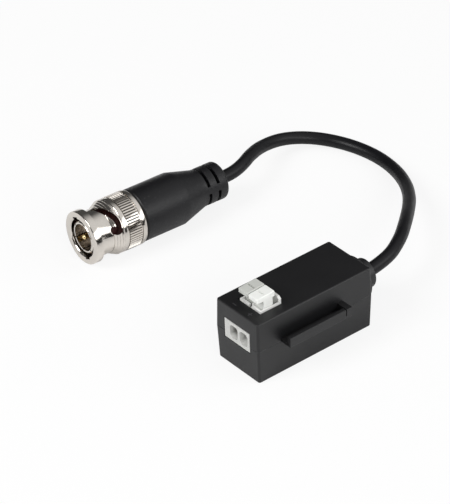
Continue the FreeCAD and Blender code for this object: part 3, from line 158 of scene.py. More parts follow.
class Graph:
    """One material's node tree, built by method calls."""

    def __init__(self, name: str, world: bpy.types.World | None = None) -> None:
        """Makes a material, or takes a world, with an empty tree and an output.

        Args:
            name: the material's name.
            world: the world that the graph is for, if it isn't for a material.
        """
        self.material = world or bpy.data.materials.new(name)
        self.material.use_nodes = True
        self.tree = self.material.node_tree
        self.tree.nodes.clear()
        self.output = self.tree.nodes.new("ShaderNodeOutputWorld" if world else "ShaderNodeOutputMaterial")

    def plug_in(self, socket: bpy.types.NodeSocket, value: Any) -> None:
        """Links a signal to a socket, or sets a plain value on it.

        Args:
            socket: the input socket.
            value: a Signal, a number, a colour or a vector.
        """
        if isinstance(value, Signal):
            self.tree.links.new(value.socket, socket)
        elif socket.type == "RGBA" and len(value) == 3:
            socket.default_value = (*value, 1.0)
        else:
            socket.default_value = value

    def add(self, kind: str, settings: dict[str, Any] | None = None,
            inputs: dict[str | int, Any] | None = None, output: str | int = 0) -> Signal:
        """Adds a node of any kind.

        Args:
            kind: the node's type name, without its ShaderNode prefix.
            settings: the node's own settings, set first; "stops" holds a ramp's (place, colour) pairs.
            inputs: values or signals for its sockets, by name or number.
            output: the output socket that is returned.

        Returns:
            The chosen output as a signal.
        """
        node = self.tree.nodes.new("ShaderNode" + kind)
        for name, value in (settings or {}).items():
            if name == "stops":
                ramp = node.color_ramp
                while len(ramp.elements) < len(value):
                    ramp.elements.new(0.5)
                for element, (place, colour) in zip(ramp.elements, value):
                    element.position = place
                    element.color = (*colour, 1.0)
            else:
                setattr(node, name, value)
        for name, value in (inputs or {}).items():
            self.plug_in(node.inputs[name], value)
        return Signal(self, node.outputs[output])

    def maths(self, operation: str, first: Signal | float, second: Signal | float = 0.0,
              clamp: bool = False) -> Signal:
        """Adds a Math node on one or two values.

        Args:
            operation: the Math node's operation.
            first: the first value.
            second: the second value.
            clamp: whether the result stays between 0 and 1.

        Returns:
            The node's value.
        """
        settings = {"operation": operation, "use_clamp": clamp}
        return self.add("Math", settings, {0: first, 1: second})

    def place(self) -> Signal:
        """The point of the surface in the object's frame, in metres."""
        return self.add("TexCoord", output="Object")

    def noise(self, where: Signal, size: float, detail: float = 2.0, roughness: float = 0.5) -> Signal:
        """Smooth noise whose features are about one size.

        Args:
            where: the coordinates it reads.
            size: the size of a feature in metres.
            detail: the number of finer layers.
            roughness: how strong the finer layers are.

        Returns:
            A value from 0 to 1.
        """
        inputs = {"Vector": where, "Scale": 1 / size, "Detail": detail, "Roughness": roughness}
        return self.add("TexNoise", None, inputs, "Fac")

    def along(self, where: Signal, direction: Vector) -> Signal:
        """How far a point lies along a direction, in metres."""
        return self.add("VectorMath", {"operation": "DOT_PRODUCT"}, {0: where, 1: tuple(direction)}, "Value")

    def ramp(self, value: Signal, low: float, high: float) -> Signal:
        """A smooth step from 0 to 1 as a value goes from low to high."""
        settings = {"interpolation_type": "SMOOTHSTEP"}
        inputs = {"Value": value, "From Min": low, "From Max": high}
        return self.add("MapRange", settings, inputs)

    def mix(self, factor: Signal | float, first: Signal | Colour, second: Signal | Colour) -> Signal:
        """Blends two colours.

        Args:
            factor: 0 for the first colour, 1 for the second.
            first: the first colour.
            second: the second colour.

        Returns:
            The blended colour.
        """
        node = self.tree.nodes.new("ShaderNodeMix")
        node.data_type = "RGBA"
        self.plug_in(node.inputs[0], factor)
        self.plug_in(node.inputs[6], first)
        self.plug_in(node.inputs[7], second)
        return Signal(self, node.outputs[2])

    def bump(self, height: Signal, distance: float, strength: float = 1.0) -> Signal:
        """Turns a height of 0 to 1 into a bumped normal.

        Args:
            height: the height map.
            distance: the real height of the bumps in metres.
            strength: how strongly it acts.

        Returns:
            The bumped normal.
        """
        return self.add("Bump", None, {"Height": height, "Distance": distance, "Strength": strength}, "Normal")

    def surface(self, base: Signal | Colour, roughness: Signal | float, normal: Signal | None = None,
                metallic: float = 0.0, **constants: Any) -> bpy.types.Material:
        """Ends the graph in a Principled shader.

        Args:
            base: the base colour.
            roughness: the roughness.
            normal: the bumped normal, if the surface has one.
            metallic: 1 for bare metal.
            **constants: values of other sockets, with underscores for spaces.

        Returns:
            The finished material.
        """
        inputs: dict[str | int, Any] = {"Base Color": base, "Roughness": roughness, "Metallic": metallic}
        if normal is not None:
            inputs["Normal"] = normal
        for name, value in constants.items():
            inputs[name.replace("_", " ")] = value
        shader = self.add("BsdfPrincipled", None, inputs)
        self.tree.links.new(shader.socket, self.output.inputs["Surface"])
        return self.material


@dataclass(frozen=True)
class MouldedPlastic:
    """An injection-moulded surface: a fine spark-eroded grain over a faint, uneven tone."""

    name: str
    colour: Colour
    roughness: float
    grain: float = 0.16 * MM
    grain_height: float = 0.012 * MM
    tone: float = 0.10
    specular: float = 0.5
    specks_and_glints: float = 0.0

    def material(self) -> bpy.types.Material:
        """Builds the finish.

        Returns:
            The material.
        """
        graph = Graph(self.name)
        where = graph.place()
        grain = graph.noise(where, self.grain, 3.0, 0.6)
        cloud = graph.noise(where, 40 * self.grain, 2.0)
        dark = tuple(c * (1 - self.tone) for c in self.colour)
        light = tuple(c * (1 + self.tone) for c in self.colour)
        base = graph.mix(cloud, dark, light)
        # Light spots: specks in the housing's plastic, and on the boot painted glints of its grain.
        speck_and_glint_mask = graph.maths("GREATER_THAN", graph.noise(where, 1.3 * self.grain, 1.0), 0.74)
        base = graph.mix(speck_and_glint_mask * self.specks_and_glints, base, (0.30, 0.30, 0.31))
        rough = (cloud - 0.5) * 0.10 + (grain - 0.5) * 0.10 + self.roughness
        normal = graph.bump(grain, self.grain_height)
        return graph.surface(base, rough, normal, Specular_IOR_Level=self.specular)


@dataclass(frozen=True)
class TerminalPlastic:
    """The terminal's plastic: grey in its nose, with painted light making it whiter round the levers and painted shade
    inside the left wire entry.
    """

    name: str
    front: float
    roof: float
    colour: Colour = (0.56, 0.56, 0.54)
    painted_collar_light: Colour = (0.80, 0.80, 0.78)
    painted_entry_shade: Colour = (0.13, 0.12, 0.105)
    roughness: float = 0.42
    grain: float = 0.3 * MM

    def material(self) -> bpy.types.Material:
        """Builds the finish.

        Returns:
            The material.
        """
        graph = Graph(self.name)
        where = graph.place()
        grain = graph.noise(where, self.grain, 3.0, 0.6)
        cloud = graph.noise(where, 40 * self.grain, 2.0)
        across = graph.along(where, Vector((1.0, 0.0, 0.0)))
        depth = graph.along(where, Vector((0.0, 1.0, 0.0)))
        height = graph.along(where, Vector((0.0, 0.0, 1.0)))
        # Painted light: above the roof the plastic is blended to a whiter colour, as if lit from above.
        above = graph.ramp(height, self.roof - 0.8 * MM, self.roof)
        # Painted shade: deeper inside the left wire entry the plastic is blended towards a dark brown-grey.
        inside = graph.ramp(depth, self.front + 0.5 * MM, self.front + 2.2 * MM)
        left = 1.0 - graph.ramp(across, -0.4 * MM, 0.0)
        base = graph.mix(inside * left * 0.9, self.colour, self.painted_entry_shade)
        base = graph.mix(above, base, self.painted_collar_light)
        rough = (cloud - 0.5) * 0.10 + (grain - 0.5) * 0.10 + self.roughness
        return graph.surface(base, rough, graph.bump(grain, 0.004 * MM))


@dataclass(frozen=True)
class TurnedMetal:
    """A plated, turned surface: fine tool lines about an axis under an even, slightly uneven polish."""

    name: str
    colour: Colour
    roughness: float
    axis: tuple[float, float, float] = (0.0, 0.0, 1.0)
    line_pitch: float = 0.10 * MM
    line_height: float = 0.0015 * MM
    tone: float = 0.06
    knurl: tuple[Vector, float, float, float, float] | None = None

    def material(self) -> bpy.types.Material:
        """Builds the finish.

        Returns:
            The material.
        """
        graph = Graph(self.name)
        where = graph.place()
        travel = graph.along(where, Vector(self.axis)) * (2 * math.pi / self.line_pitch)
        uneven = graph.noise(where, 6 * self.line_pitch, 2.0)
        lines = graph.maths("SINE", travel + uneven * 2.0) * 0.5 + 0.5
        cloud = graph.noise(where, 2.0 * MM, 2.0)
        dark = tuple(c * (1 - self.tone) for c in self.colour)
        light = tuple(min(1.0, c * (1 + self.tone)) for c in self.colour)
        base = graph.mix(cloud, dark, light)
        if self.knurl is not None:
            # Painted shade: the bottoms of the knurl's grooves are darkened.
            base = graph.mix(self.groove_shade_mask(graph, where), base, tuple(c * 0.22 for c in self.colour))
        rough = (cloud - 0.5) * 0.08 + lines * 0.03 + self.roughness
        normal = graph.bump(lines * 0.7 + uneven * 0.3, self.line_height)
        return graph.surface(base, rough, normal, metallic=1.0)

    def groove_shade_mask(self, graph: Graph, where: Signal) -> Signal:
        """Finds the bottoms of the knurl's grooves, where shade is painted.

        Args:
            graph: the finish's graph.
            where: the point of the surface.

        Returns:
            1 in a groove's bottom, 0 elsewhere.
        """
        origin, low, high, first, last = self.knurl
        arm = graph.add("VectorMath", {"operation": "SUBTRACT"}, {0: where, 1: tuple(origin)}, "Vector")
        across = graph.add("VectorMath", {"operation": "CROSS_PRODUCT"}, {0: arm, 1: self.axis}, "Vector")
        out = graph.add("VectorMath", {"operation": "LENGTH"}, {0: across}, "Value")
        station = graph.along(arm, Vector(self.axis))
        within = graph.maths("GREATER_THAN", station, first) * graph.maths("LESS_THAN", station, last)
        return (1.0 - graph.ramp(out, low, high)) * within


@dataclass(frozen=True)
class Jacket:
    """An extruded cable jacket: satin, with faint ripples and a fine skin."""

    name: str
    colour: Colour
    roughness: float

    def material(self) -> bpy.types.Material:
        """Builds the finish.

        Returns:
            The material.
        """
        graph = Graph(self.name)
        where = graph.place()
        skin = graph.noise(where, 0.12 * MM, 2.0, 0.6)
        ripple = graph.noise(where, 2.2 * MM, 2.0)
        lighter = tuple(c * 1.35 for c in self.colour)
        base = graph.mix(ripple, self.colour, lighter)
        rough = (ripple - 0.5) * 0.12 + (skin - 0.5) * 0.08 + self.roughness
        normal = graph.bump(ripple * 0.6 + skin * 0.4, 0.012 * MM)
        return graph.surface(base, rough, normal, Specular_IOR_Level=0.24)


@dataclass(frozen=True)
class SolderMask:
    """A circuit board: green lacquer over copper tracks, which show a lighter green."""

    name: str = "board_laminate"

    def material(self) -> bpy.types.Material:
        """Builds the finish.

        Returns:
            The material.
        """
        graph = Graph(self.name)
        where = graph.place()
        tracks = graph.add("TexVoronoi", {"distance": "CHEBYCHEV", "feature": "F1"},
                           {"Vector": where, "Scale": 1 / (2.4 * MM)}, "Distance")
        copper = graph.maths("LESS_THAN", tracks, 0.32)
        base = graph.mix(copper, (0.01, 0.075, 0.03), (0.02, 0.14, 0.055))
        rough = graph.noise(where, 0.8 * MM) * 0.1 + 0.25
        return graph.surface(base, rough, graph.bump(copper, 0.02 * MM), Coat_Weight=0.4)


class Finishes:
    """Builds each finish once and hands it out by slot."""

    def __init__(self, plug_nose: Vector, plug_axis: Vector) -> None:
        """Builds every finish.

        Args:
            plug_nose: the centre of the plug's nose.
            plug_axis: the direction of the plug's axis, which its tool lines run round.
        """
        axis = tuple(plug_axis)
        knurl = (plug_nose, *CouplingRing().groove_range())
        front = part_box("terminal_body")[0][1]
        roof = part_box("upper_shell")[1][2]
        plans = {
            Slot.HOUSING: MouldedPlastic("housing_plastic", (0.0056, 0.0056, 0.0063), 0.42, specular=0.47,
                                         specks_and_glints=0.06),
            Slot.TERMINAL: TerminalPlastic("terminal_plastic", front, roof),
            Slot.LEVER: MouldedPlastic("lever_plastic", (0.84, 0.85, 0.82), 0.38, 0.3 * MM, 0.004 * MM, 0.04),
            Slot.SPRING: TurnedMetal("spring_steel", (0.60, 0.60, 0.60), 0.28, (0.0, 1.0, 0.0)),
            Slot.TINNED: TurnedMetal("tinned_metal", (0.70, 0.70, 0.69), 0.32, (1.0, 0.0, 0.0)),
            Slot.BOARD: SolderMask(),
            Slot.FERRITE: MouldedPlastic("ferrite", (0.045, 0.045, 0.047), 0.75, 0.2 * MM, 0.02 * MM),
            Slot.WINDING: TurnedMetal("winding_wire", (0.62, 0.25, 0.10), 0.22, (0.0, 0.0, 1.0)),
            Slot.BLACK_PART: MouldedPlastic("component_black", (0.03, 0.03, 0.03), 0.55),
            Slot.TAN_PART: MouldedPlastic("component_tan", (0.42, 0.27, 0.15), 0.40),
            Slot.GLAND: MouldedPlastic("gland_rubber", (0.006, 0.006, 0.007), 0.42),
            Slot.JACKET: Jacket("cable_jacket", (0.004, 0.004, 0.005), 0.40),
            Slot.NICKEL: TurnedMetal("nickel_plate", (0.70, 0.66, 0.61), 0.12, axis, knurl=knurl),
            Slot.SEAL: MouldedPlastic("seal_silicone", (0.028, 0.0025, 0.003), 0.55, 0.3 * MM, 0.004 * MM,
                                     specular=0.25),
            Slot.INSULATOR: MouldedPlastic("insulator_white", (0.50, 0.45, 0.40), 0.5),
            Slot.GOLD: TurnedMetal("gold_plate", (0.90, 0.70, 0.36), 0.20, axis),
            Slot.BOOT: MouldedPlastic("boot_plastic", (0.004, 0.004, 0.0052), 0.36, 0.34 * MM, 0.075 * MM,
                                     specular=0.34, specks_and_glints=0.14),
        }
        self.made = {(slot, ""): plan.material() for slot, plan in plans.items()}
        grey = MouldedPlastic("lever_plastic_grey", (0.53, 0.54, 0.51), 0.38, 0.3 * MM, 0.004 * MM, 0.04)
        self.made[Slot.LEVER, "grey"] = grey.material()
        # Painted highlight: the signs get a lighter finish that stands in for their raised edges catching the light.
        sign_painted_highlight = MouldedPlastic("housing_sign_painted_highlight", (0.045, 0.045, 0.048), 0.38)
        self.made[Slot.HOUSING, "sign_painted_highlight"] = sign_painted_highlight.material()

    def dress(self, piece: bpy.types.Object, slot: Slot, shade: str = "") -> None:
        """Gives a piece the finish of its slot.

        Args:
            piece: the object.
            slot: its material slot.
            shade: the slot's other shade, if it has one.
        """
        piece.data.materials.clear()
        piece.data.materials.append(self.made[slot, shade])


def new_piece(name: str, data: bpy.types.ID, body: str = BODY) -> bpy.types.Object:
    """Links an object and makes it ride on a body.

    Args:
        name: the piece's name.
        data: its mesh or curve.
        body: the body that it moves with.

    Returns:
        The object.
    """
    piece = bpy.data.objects.new(name, data)
    bpy.context.scene.collection.objects.link(piece)
    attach(piece, body)
    return piece


def skin_of(node: str, body: str = BODY, edge: float = 0.0, segments: int = 3, angle: float = 28.0,
            seam: float | None = None) -> bpy.types.Object:
    """A smooth-shaded copy of a node, with its edges softened, that stands for the node.

    Args:
        node: the node's name.
        body: the body that it moves with.
        edge: the radius given to its sharp edges, in metres; 0 for none.
        segments: the number of strips on a softened edge.
        angle: the angle in degrees above which an edge counts as sharp.
        seam: the height of a parting line, where the edges get only a third of the radius.

    Returns:
        The new piece.
    """
    shape = bmesh.new()
    shape.from_mesh(frame["nodes"][node].data)
    bmesh.ops.remove_doubles(shape, verts=shape.verts, dist=0.0008 * MM)
    limit = math.radians(angle)
    for face in shape.faces:
        face.smooth = True
    for line in shape.edges:
        line.smooth = len(line.link_faces) == 2 and line.calc_face_angle(0.0) < limit
    flat = [line for line in shape.edges if len(line.link_faces) == 2 and line.calc_face_angle(0.0) < 0.002]
    bmesh.ops.dissolve_edges(shape, edges=flat, use_verts=False, use_face_split=False)
    if seam is not None:
        weight = shape.edges.layers.float.new("bevel_weight_edge")
        for line in shape.edges:
            near = all(abs(vert.co.z - seam) < 0.4 * MM for vert in line.verts)
            if not line.smooth:
                line[weight] = 0.35 if near else 1.0
    mesh = bpy.data.meshes.new(node + "_skin")
    shape.to_mesh(mesh)
    shape.free()
    piece = new_piece(node + "_skin", mesh, body)
    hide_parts(node)
    if edge:
        bevel = piece.modifiers.new("edges", "BEVEL")
        bevel.width = edge
        bevel.segments = segments
        bevel.limit_method = "ANGLE" if seam is None else "WEIGHT"
        bevel.angle_limit = limit
        bevel.harden_normals = True
    return piece


def even_normals(piece: bpy.types.Object) -> None:
    """Lets the large faces rule the shading, so narrow rounded edges stay narrow."""
    weigh = piece.modifiers.new("normals", "WEIGHTED_NORMAL")
    weigh.keep_sharp = True
    weigh.weight = 100


@dataclass
class Housing:
    """The two shells, and the signs beside the levers."""

    finishes: Finishes
    edge: float = 0.32 * MM
    seam: float = 9.3 * MM
    sign_height: float = 0.06 * MM
    sign_sink: float = 0.05 * MM
    sign_length: float = 1.3 * MM
    sign_width: float = 0.26 * MM
    sign_edge: float = 0.04 * MM
    minus_place: tuple[float, float] = (-2.6 * MM, -16.0 * MM)
    plus_place: tuple[float, float] = (2.9 * MM, -15.8 * MM)

    def build(self) -> None:
        """Builds and dresses the housing."""
        for node in ("upper_shell", "lower_shell"):
            self.finishes.dress(skin_of(node, edge=self.edge, seam=self.seam), Slot.HOUSING)
        self.sign("minus_sign", self.minus_place, upright=False)
        self.sign("plus_sign", self.plus_place, upright=True)

    def sign(self, name: str, place: tuple[float, float], upright: bool) -> None:
        """Raises a polarity sign on the roof, in front of a lever.

        Args:
            name: the piece's name.
            place: its centre on the roof.
            upright: whether a second bar crosses the first.
        """
        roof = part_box("upper_shell")[1][2]
        bars = [(self.sign_length, self.sign_width)]
        if upright:
            bars.append((self.sign_width, self.sign_length))
        shape = bmesh.new()
        height = self.sign_height + self.sign_sink
        centre = Vector((*place, roof + self.sign_height - height / 2))
        for width, length in bars:
            size = Matrix.Diagonal((width, length, height, 1.0))
            bmesh.ops.create_cube(shape, size=1.0, matrix=Matrix.Translation(centre) @ size)
        bmesh.ops.bevel(shape, geom=shape.edges, affect="EDGES", offset=self.sign_edge, segments=2, profile=0.5,
                        material=-1)
        mesh = bpy.data.meshes.new(name)
        shape.to_mesh(mesh)
        shape.free()
        # The sign takes the lighter finish, a painted highlight for its edges.
        self.finishes.dress(new_piece(name, mesh), Slot.HOUSING, "sign_painted_highlight")


@dataclass
class Terminal:
    """The terminal block with its levers, springs and current bars."""

    finishes: Finishes
    edge: float = 0.10 * MM

    def build(self) -> None:
        """Builds and dresses the terminal."""
        self.finishes.dress(skin_of("terminal_body", edge=self.edge), Slot.TERMINAL)
        for side in ("left", "right"):
            lever = skin_of("lever_" + side, side + "_lever", self.edge)
            self.finishes.dress(lever, Slot.LEVER, "grey" if side == "left" else "")
            self.finishes.dress(frame["nodes"]["clamp_spring_" + side], Slot.SPRING)
            self.finishes.dress(frame["nodes"]["contact_" + side], Slot.TINNED)


@dataclass
class Electronics:
    """What the housing holds: the board, its parts and the end of the lead."""

    finishes: Finishes
    slots: dict[str, Slot] = field(default_factory=lambda: {
        "circuit_board": Slot.BOARD,
        "transformer_core": Slot.FERRITE,
        "transformer_windings": Slot.WINDING,
        "surge_suppressor": Slot.BLACK_PART,
        "chip_resistors": Slot.BLACK_PART,
        "chip_capacitors": Slot.TAN_PART,
        "cable_end_housing": Slot.JACKET,
        "core_lead": Slot.WINDING,
        "shield_lead": Slot.TINNED,
    })

    def build(self) -> None:
        """Dresses the nodes inside the housing."""
        for node, slot in self.slots.items():
            self.finishes.dress(frame["nodes"][node], slot)


@dataclass
class Lead:
    """The free lead between the strain relief and the boot, and the strain relief itself."""

    finishes: Finishes
    radius: float = 1.7 * MM
    length: float = 123.5 * MM
    gland_end: tuple[float, float, float] = (0.0, 22.7, 9.3)
    route: tuple[tuple[float, float, float], ...] = (
        (0.0, 29.4, 9.9), (-3.8, 37.1, 10.5), (-9.3, 43.7, 9.5), (-14.9, 49.8, 7.7),
        (-21.1, 55.8, 5.6), (-28.4, 61.1, 3.7), (-36.9, 65.0, 2.2), (-46.0, 66.1, 1.75),
        (-55.0, 63.9, 1.9), (-62.0, 58.5, 2.8), (-65.3, 51.1, 4.1), (-64.25, 43.0, 5.67),
        (-60.9, 36.34, 7.25), (-59.1, 33.22, 7.5), (-57.99, 30.01, 7.4),
    )
    last_run: float = 3.2 * MM

    def build(self, boot_end: Vector, axis: Vector) -> bpy.types.Object:
        """Builds the lead and dresses the strain relief.

        Args:
            boot_end: the centre of the boot's end face.
            axis: the plug's axis, from its nose to its boot.

        Returns:
            The lead's curve object.
        """
        self.finishes.dress(skin_of("cable_gland", edge=0.1 * MM), Slot.GLAND)
        points = [Vector(self.gland_end) * MM] + [Vector(p) * MM for p in self.route]
        points += [boot_end + axis * self.last_run, boot_end]
        curve = bpy.data.curves.new("lead", "CURVE")
        curve.dimensions = "3D"
        curve.bevel_depth = 1.0
        curve.bevel_resolution = 8
        curve.use_fill_caps = True
        spline = curve.splines.new("NURBS")
        spline.points.add(len(points) - 1)
        for spot, point in zip(spline.points, points):
            spot.co = (*point, 1.0)
            spot.radius = self.radius
        spline.order_u = 3
        spline.use_endpoint_u = True
        spline.resolution_u = 16
        lead = new_piece("lead", curve)
        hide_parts("cable")
        self.finishes.dress(lead, Slot.JACKET)
        return lead


def link_rows(shape: bmesh.types.BMesh, rows: list[list[Vector]]) -> None:
    """Joins equal rows of points into one closed tube with capped ends.

    Args:
        shape: the mesh that gets the tube.
        rows: the corners of each section, in the same order in every row.
    """
    loops = []
    for row in rows:
        verts = [shape.verts.new(corner) for corner in row]
        loops.append([shape.edges.new((verts[i - 1], verts[i])) for i in range(len(verts))])
    for first, second in zip(loops, loops[1:]):
        bmesh.ops.bridge_loops(shape, edges=first + second)
    for loop in (loops[0], loops[-1]):
        bmesh.ops.contextual_create(shape, geom=loop)
    bmesh.ops.recalc_face_normals(shape, faces=shape.faces)


@dataclass
class CouplingRing:
    """The coupling ring: flange, neck with two bayonet slots, stepped flare, knurl and rear rim.

    Lengths are millimetres along and out from the plug's axis, and angles run from the top towards +X.
    """

    radius: float = 7.25
    length: float = 15.3
    bore: float = 4.95
    cavity: float = 6.1
    cavity_station: float = 8.3
    flange: float = 7.05
    flange_length: float = 2.1
    flange_round: float = 0.3
    neck: float = 6.0
    flare: tuple[float, float, float] = (5.85, 6.25, 0.62)
    flare_steps: int = 3
    flare_lip: float = 0.12
    band: tuple[float, float] = (7.2, 1.84)
    band_line: float = 0.6
    knurl_length: float = 3.65
    groove: float = 0.3
    teeth: int = 64
    steps_per_tooth: int = 6
    tooth_depth: float = 0.26
    rim_round: float = 0.6
    edge: float = 0.06
    blade: float = 1.3
    slot: tuple[tuple[float, float], ...] = (
        (-18.0, 4.68), (0.0, 5.48), (10.0, 5.93), (20.0, 6.38), (30.0, 6.83), (40.0, 7.24), (50.0, 7.5),
        (58.0, 7.45), (64.0, 7.15),
    )
    pocket: tuple[float, float, float, float] = (64.5, 6.25, 1.05, 5.2)
    slot_end: tuple[float, float, float, float] = (66.5, 6.9, 1.15, 4.5)
    notch: tuple[float, float, float] = (-26.0, 2.0, 5.6)
    slot_inside: float = 4.5
    slot_outside: float = 8.0

    def knurl_start(self) -> float:
        """Where the knurl begins along the axis."""
        start, _, step = self.flare
        return start + self.flare_steps * step + self.band[1] + self.groove

    def groove_range(self) -> tuple[float, float, float, float]:
        """The radii between which a groove's painted shade fades in, and the knurl's ends along the axis, in metres."""
        start = self.knurl_start()
        low = self.radius - self.tooth_depth
        return low * MM, (self.radius - 0.04) * MM, (start - 0.02) * MM, (start + self.knurl_length + 0.02) * MM

    def corners(self) -> list[tuple[float, float]]:
        """The half section's corners, as stations and radii."""
        start, low, step = self.flare
        rise = (self.band[0] - low) / self.flare_steps
        section = [(0.0, self.bore + self.flange_round), (0.0, self.flange - self.flange_round)]
        section += [(self.flange_round * (1 - math.cos(a)), self.flange - self.flange_round * (1 - math.sin(a)))
                    for a in (math.pi / 6, math.pi / 3, math.pi / 2)]
        section += [(self.flange_length, self.flange), (self.flange_length, self.neck), (start, self.neck)]
        for i in range(self.flare_steps):
            section.append((start + i * step, low + i * rise))
            section.append((start + (i + 1) * step, low + (i + 1) * rise - self.flare_lip))
        band_start = start + self.flare_steps * step
        line = band_start + self.band_line
        section += [(band_start, self.band[0]), (line, self.band[0]), (line + 0.1, self.band[0] - 0.12),
                    (line + 0.2, self.band[0]), (band_start + self.band[1], self.band[0])]
        knurl = self.knurl_start()
        rim = knurl + self.knurl_length + self.groove
        bottom = self.radius - self.groove
        section += [(knurl - self.groove, bottom), (knurl, bottom), (knurl, self.radius),
                    (knurl + self.knurl_length, self.radius), (knurl + self.knurl_length, bottom), (rim, bottom),
                    (rim, self.radius)]
        section += [(self.length - self.rim_round * (1 - math.sin(a)), self.radius - self.rim_round * (1 - math.cos(a)))
                    for a in (0.0, math.pi / 8, math.pi / 4, math.pi * 3 / 8, math.pi / 2)]
        section += [(self.length, self.cavity), (self.cavity_station, self.cavity), (self.cavity_station, self.bore),
                    (self.flange_round, self.bore)]
        return section

    def softened(self) -> list[Vector]:
        """The half section with each square corner rounded a little."""
        section = [Vector((radius, 0.0, station)) for station, radius in self.corners()]
        soft = []
        for i, corner in enumerate(section):
            before = section[i - 1] - corner
            after = section[(i + 1) % len(section)] - corner
            reach = min(self.edge, before.length / 3, after.length / 3)
            if abs(before.angle(after) - math.pi) < math.radians(35) or reach < self.edge / 3:
                soft.append(corner)
                continue
            first = corner + before.normalized() * reach
            last = corner + after.normalized() * reach
            soft += [first, (first + 2 * corner + last) / 4, last]
        return soft

    def blank(self) -> bpy.types.Mesh:
        """Turns the ring and presses its knurl.

        Returns:
            The ring without its slots.
        """
        shape = bmesh.new()
        verts = [shape.verts.new(corner) for corner in self.softened()]
        edges = [shape.edges.new((verts[i - 1], verts[i])) for i in range(len(verts))]
        steps = self.teeth * self.steps_per_tooth
        bmesh.ops.spin(shape, geom=verts + edges, cent=(0, 0, 0), axis=(0, 0, 1), angle=2 * math.pi, steps=steps,
                       use_merge=True)
        bmesh.ops.remove_doubles(shape, verts=shape.verts, dist=0.0001)
        knurl = self.knurl_start()
        for vert in shape.verts:
            out = math.hypot(vert.co.x, vert.co.y)
            turn = round(math.atan2(vert.co.y, vert.co.x) / (2 * math.pi) * steps)
            on_knurl = knurl - 0.001 < vert.co.z < knurl + self.knurl_length + 0.001
            if on_knurl and out > self.radius - self.groove + 0.001 and turn % self.steps_per_tooth < 2:
                lower = max(self.radius - self.groove, out - self.tooth_depth) / out
                vert.co.x *= lower
                vert.co.y *= lower
        bmesh.ops.recalc_face_normals(shape, faces=shape.faces)
        return self.to_mesh(shape, "ring_blank")

    def to_mesh(self, shape: bmesh.types.BMesh, name: str) -> bpy.types.Mesh:
        """Turns a bmesh into a mesh and frees it."""
        mesh = bpy.data.meshes.new(name)
        shape.to_mesh(mesh)
        shape.free()
        return mesh

    def spot(self, angle: float, station: float, out: float) -> Vector:
        """A point of the ring's own frame, where x is up and z is the axis."""
        turn = math.radians(angle)
        return Vector((out * math.cos(turn), out * math.sin(turn), station))

    def run_cutter(self, turn: float) -> bpy.types.Mesh:
        """The channel that a slot's run takes away.

        Args:
            turn: the slot's angle round the ring.

        Returns:
            The cutter.
        """
        rows = []
        for i, (angle, station) in enumerate(self.slot):
            ahead = self.slot[min(i + 1, len(self.slot) - 1)]
            behind = self.slot[max(i - 1, 0)]
            along = Vector((math.radians(ahead[0] - behind[0]) * self.neck, ahead[1] - behind[1])).normalized()
            side_angle = math.degrees(along.y * self.blade / 2 / self.neck)
            side_station = along.x * self.blade / 2
            rows.append([self.spot(turn + angle + side * side_angle, station - side * side_station, out)
                         for side, out in ((1, self.slot_inside), (1, self.slot_outside),
                                           (-1, self.slot_outside), (-1, self.slot_inside))])
        shape = bmesh.new()
        link_rows(shape, rows)
        return self.to_mesh(shape, "run_cutter")

    def round_cutter(self, turn: float, place_and_size: tuple[float, float, float, float]) -> bpy.types.Mesh:
        """A round hole or pocket, cut from outside.

        Args:
            turn: the slot's angle round the ring.
            place_and_size: its angle, station, radius and floor.

        Returns:
            The cutter.
        """
        angle, station, radius, floor = place_and_size
        height = self.slot_outside - floor
        place = self.spot(turn + angle, station, (self.slot_outside + floor) / 2)
        stand = self.spot(turn + angle, 0.0, 1.0).to_track_quat("Z", "Y").to_matrix().to_4x4()
        shape = bmesh.new()
        bmesh.ops.create_cone(shape, cap_ends=True, segments=48, radius1=radius, radius2=radius, depth=height,
                              matrix=Matrix.Translation(place) @ stand)
        return self.to_mesh(shape, "round_cutter")

    def notch_cutter(self, turn: float) -> bpy.types.Mesh:
        """The groove in the bore that a lug enters by.

        Args:
            turn: the slot's angle round the ring.

        Returns:
            The cutter.
        """
        angle, width, out = self.notch
        shape = bmesh.new()
        bmesh.ops.create_cube(shape, size=1.0)
        size = Matrix.Diagonal((out, width, self.slot[0][1] + 1.0, 1.0))
        place = Matrix.Translation((out / 2, 0.0, (self.slot[0][1] - 1.0) / 2))
        spin = Matrix.Rotation(math.radians(turn + angle), 4, "Z")
        bmesh.ops.transform(shape, matrix=spin @ place @ size, verts=shape.verts)
        return self.to_mesh(shape, "notch_cutter")

    def build(self, place: Matrix) -> bpy.types.Mesh:
        """Makes the finished ring where the plug lies.

        Args:
            place: the plug's frame, with x up and z along the axis, in metres.

        Returns:
            The ring's mesh.
        """
        cutters = []
        for turn in (0.0, 180.0):
            cutters += [self.notch_cutter(turn), self.run_cutter(turn)]
            cutters += [self.round_cutter(turn, self.pocket), self.round_cutter(turn, self.slot_end)]
        mesh = cut_away(self.blank(), cutters)
        shape = bmesh.new()
        shape.from_mesh(mesh)
        bmesh.ops.transform(shape, matrix=place @ Matrix.Scale(MM, 4), verts=shape.verts)
        for face in shape.faces:
            face.smooth = True
        for line in shape.edges:
            line.smooth = len(line.link_faces) == 2 and line.calc_face_angle(0.0) < math.radians(32)
        return self.to_mesh(shape, "bayonet_ring_skin")


def cut_away(blank: bpy.types.Mesh, cutters: list[bpy.types.Mesh]) -> bpy.types.Mesh:
    """Takes closed cutters out of a closed mesh.

    Args:
        blank: the mesh that is cut.
        cutters: what is taken away.

    Returns:
        The cut mesh.
    """
    scene = bpy.context.scene.collection.objects
    body = bpy.data.objects.new("blank", blank)
    scene.link(body)
    tools = []
    for cutter in cutters:
        tool = bpy.data.objects.new("cutter", cutter)
        scene.link(tool)
        tools.append(tool)
        cut = body.modifiers.new("cut", "BOOLEAN")
        cut.operation = "DIFFERENCE"
        cut.solver = "EXACT"
        cut.object = tool
    result = bpy.data.meshes.new_from_object(body.evaluated_get(bpy.context.evaluated_depsgraph_get()))
    for item in [body] + tools:
        bpy.data.objects.remove(item)
    return result


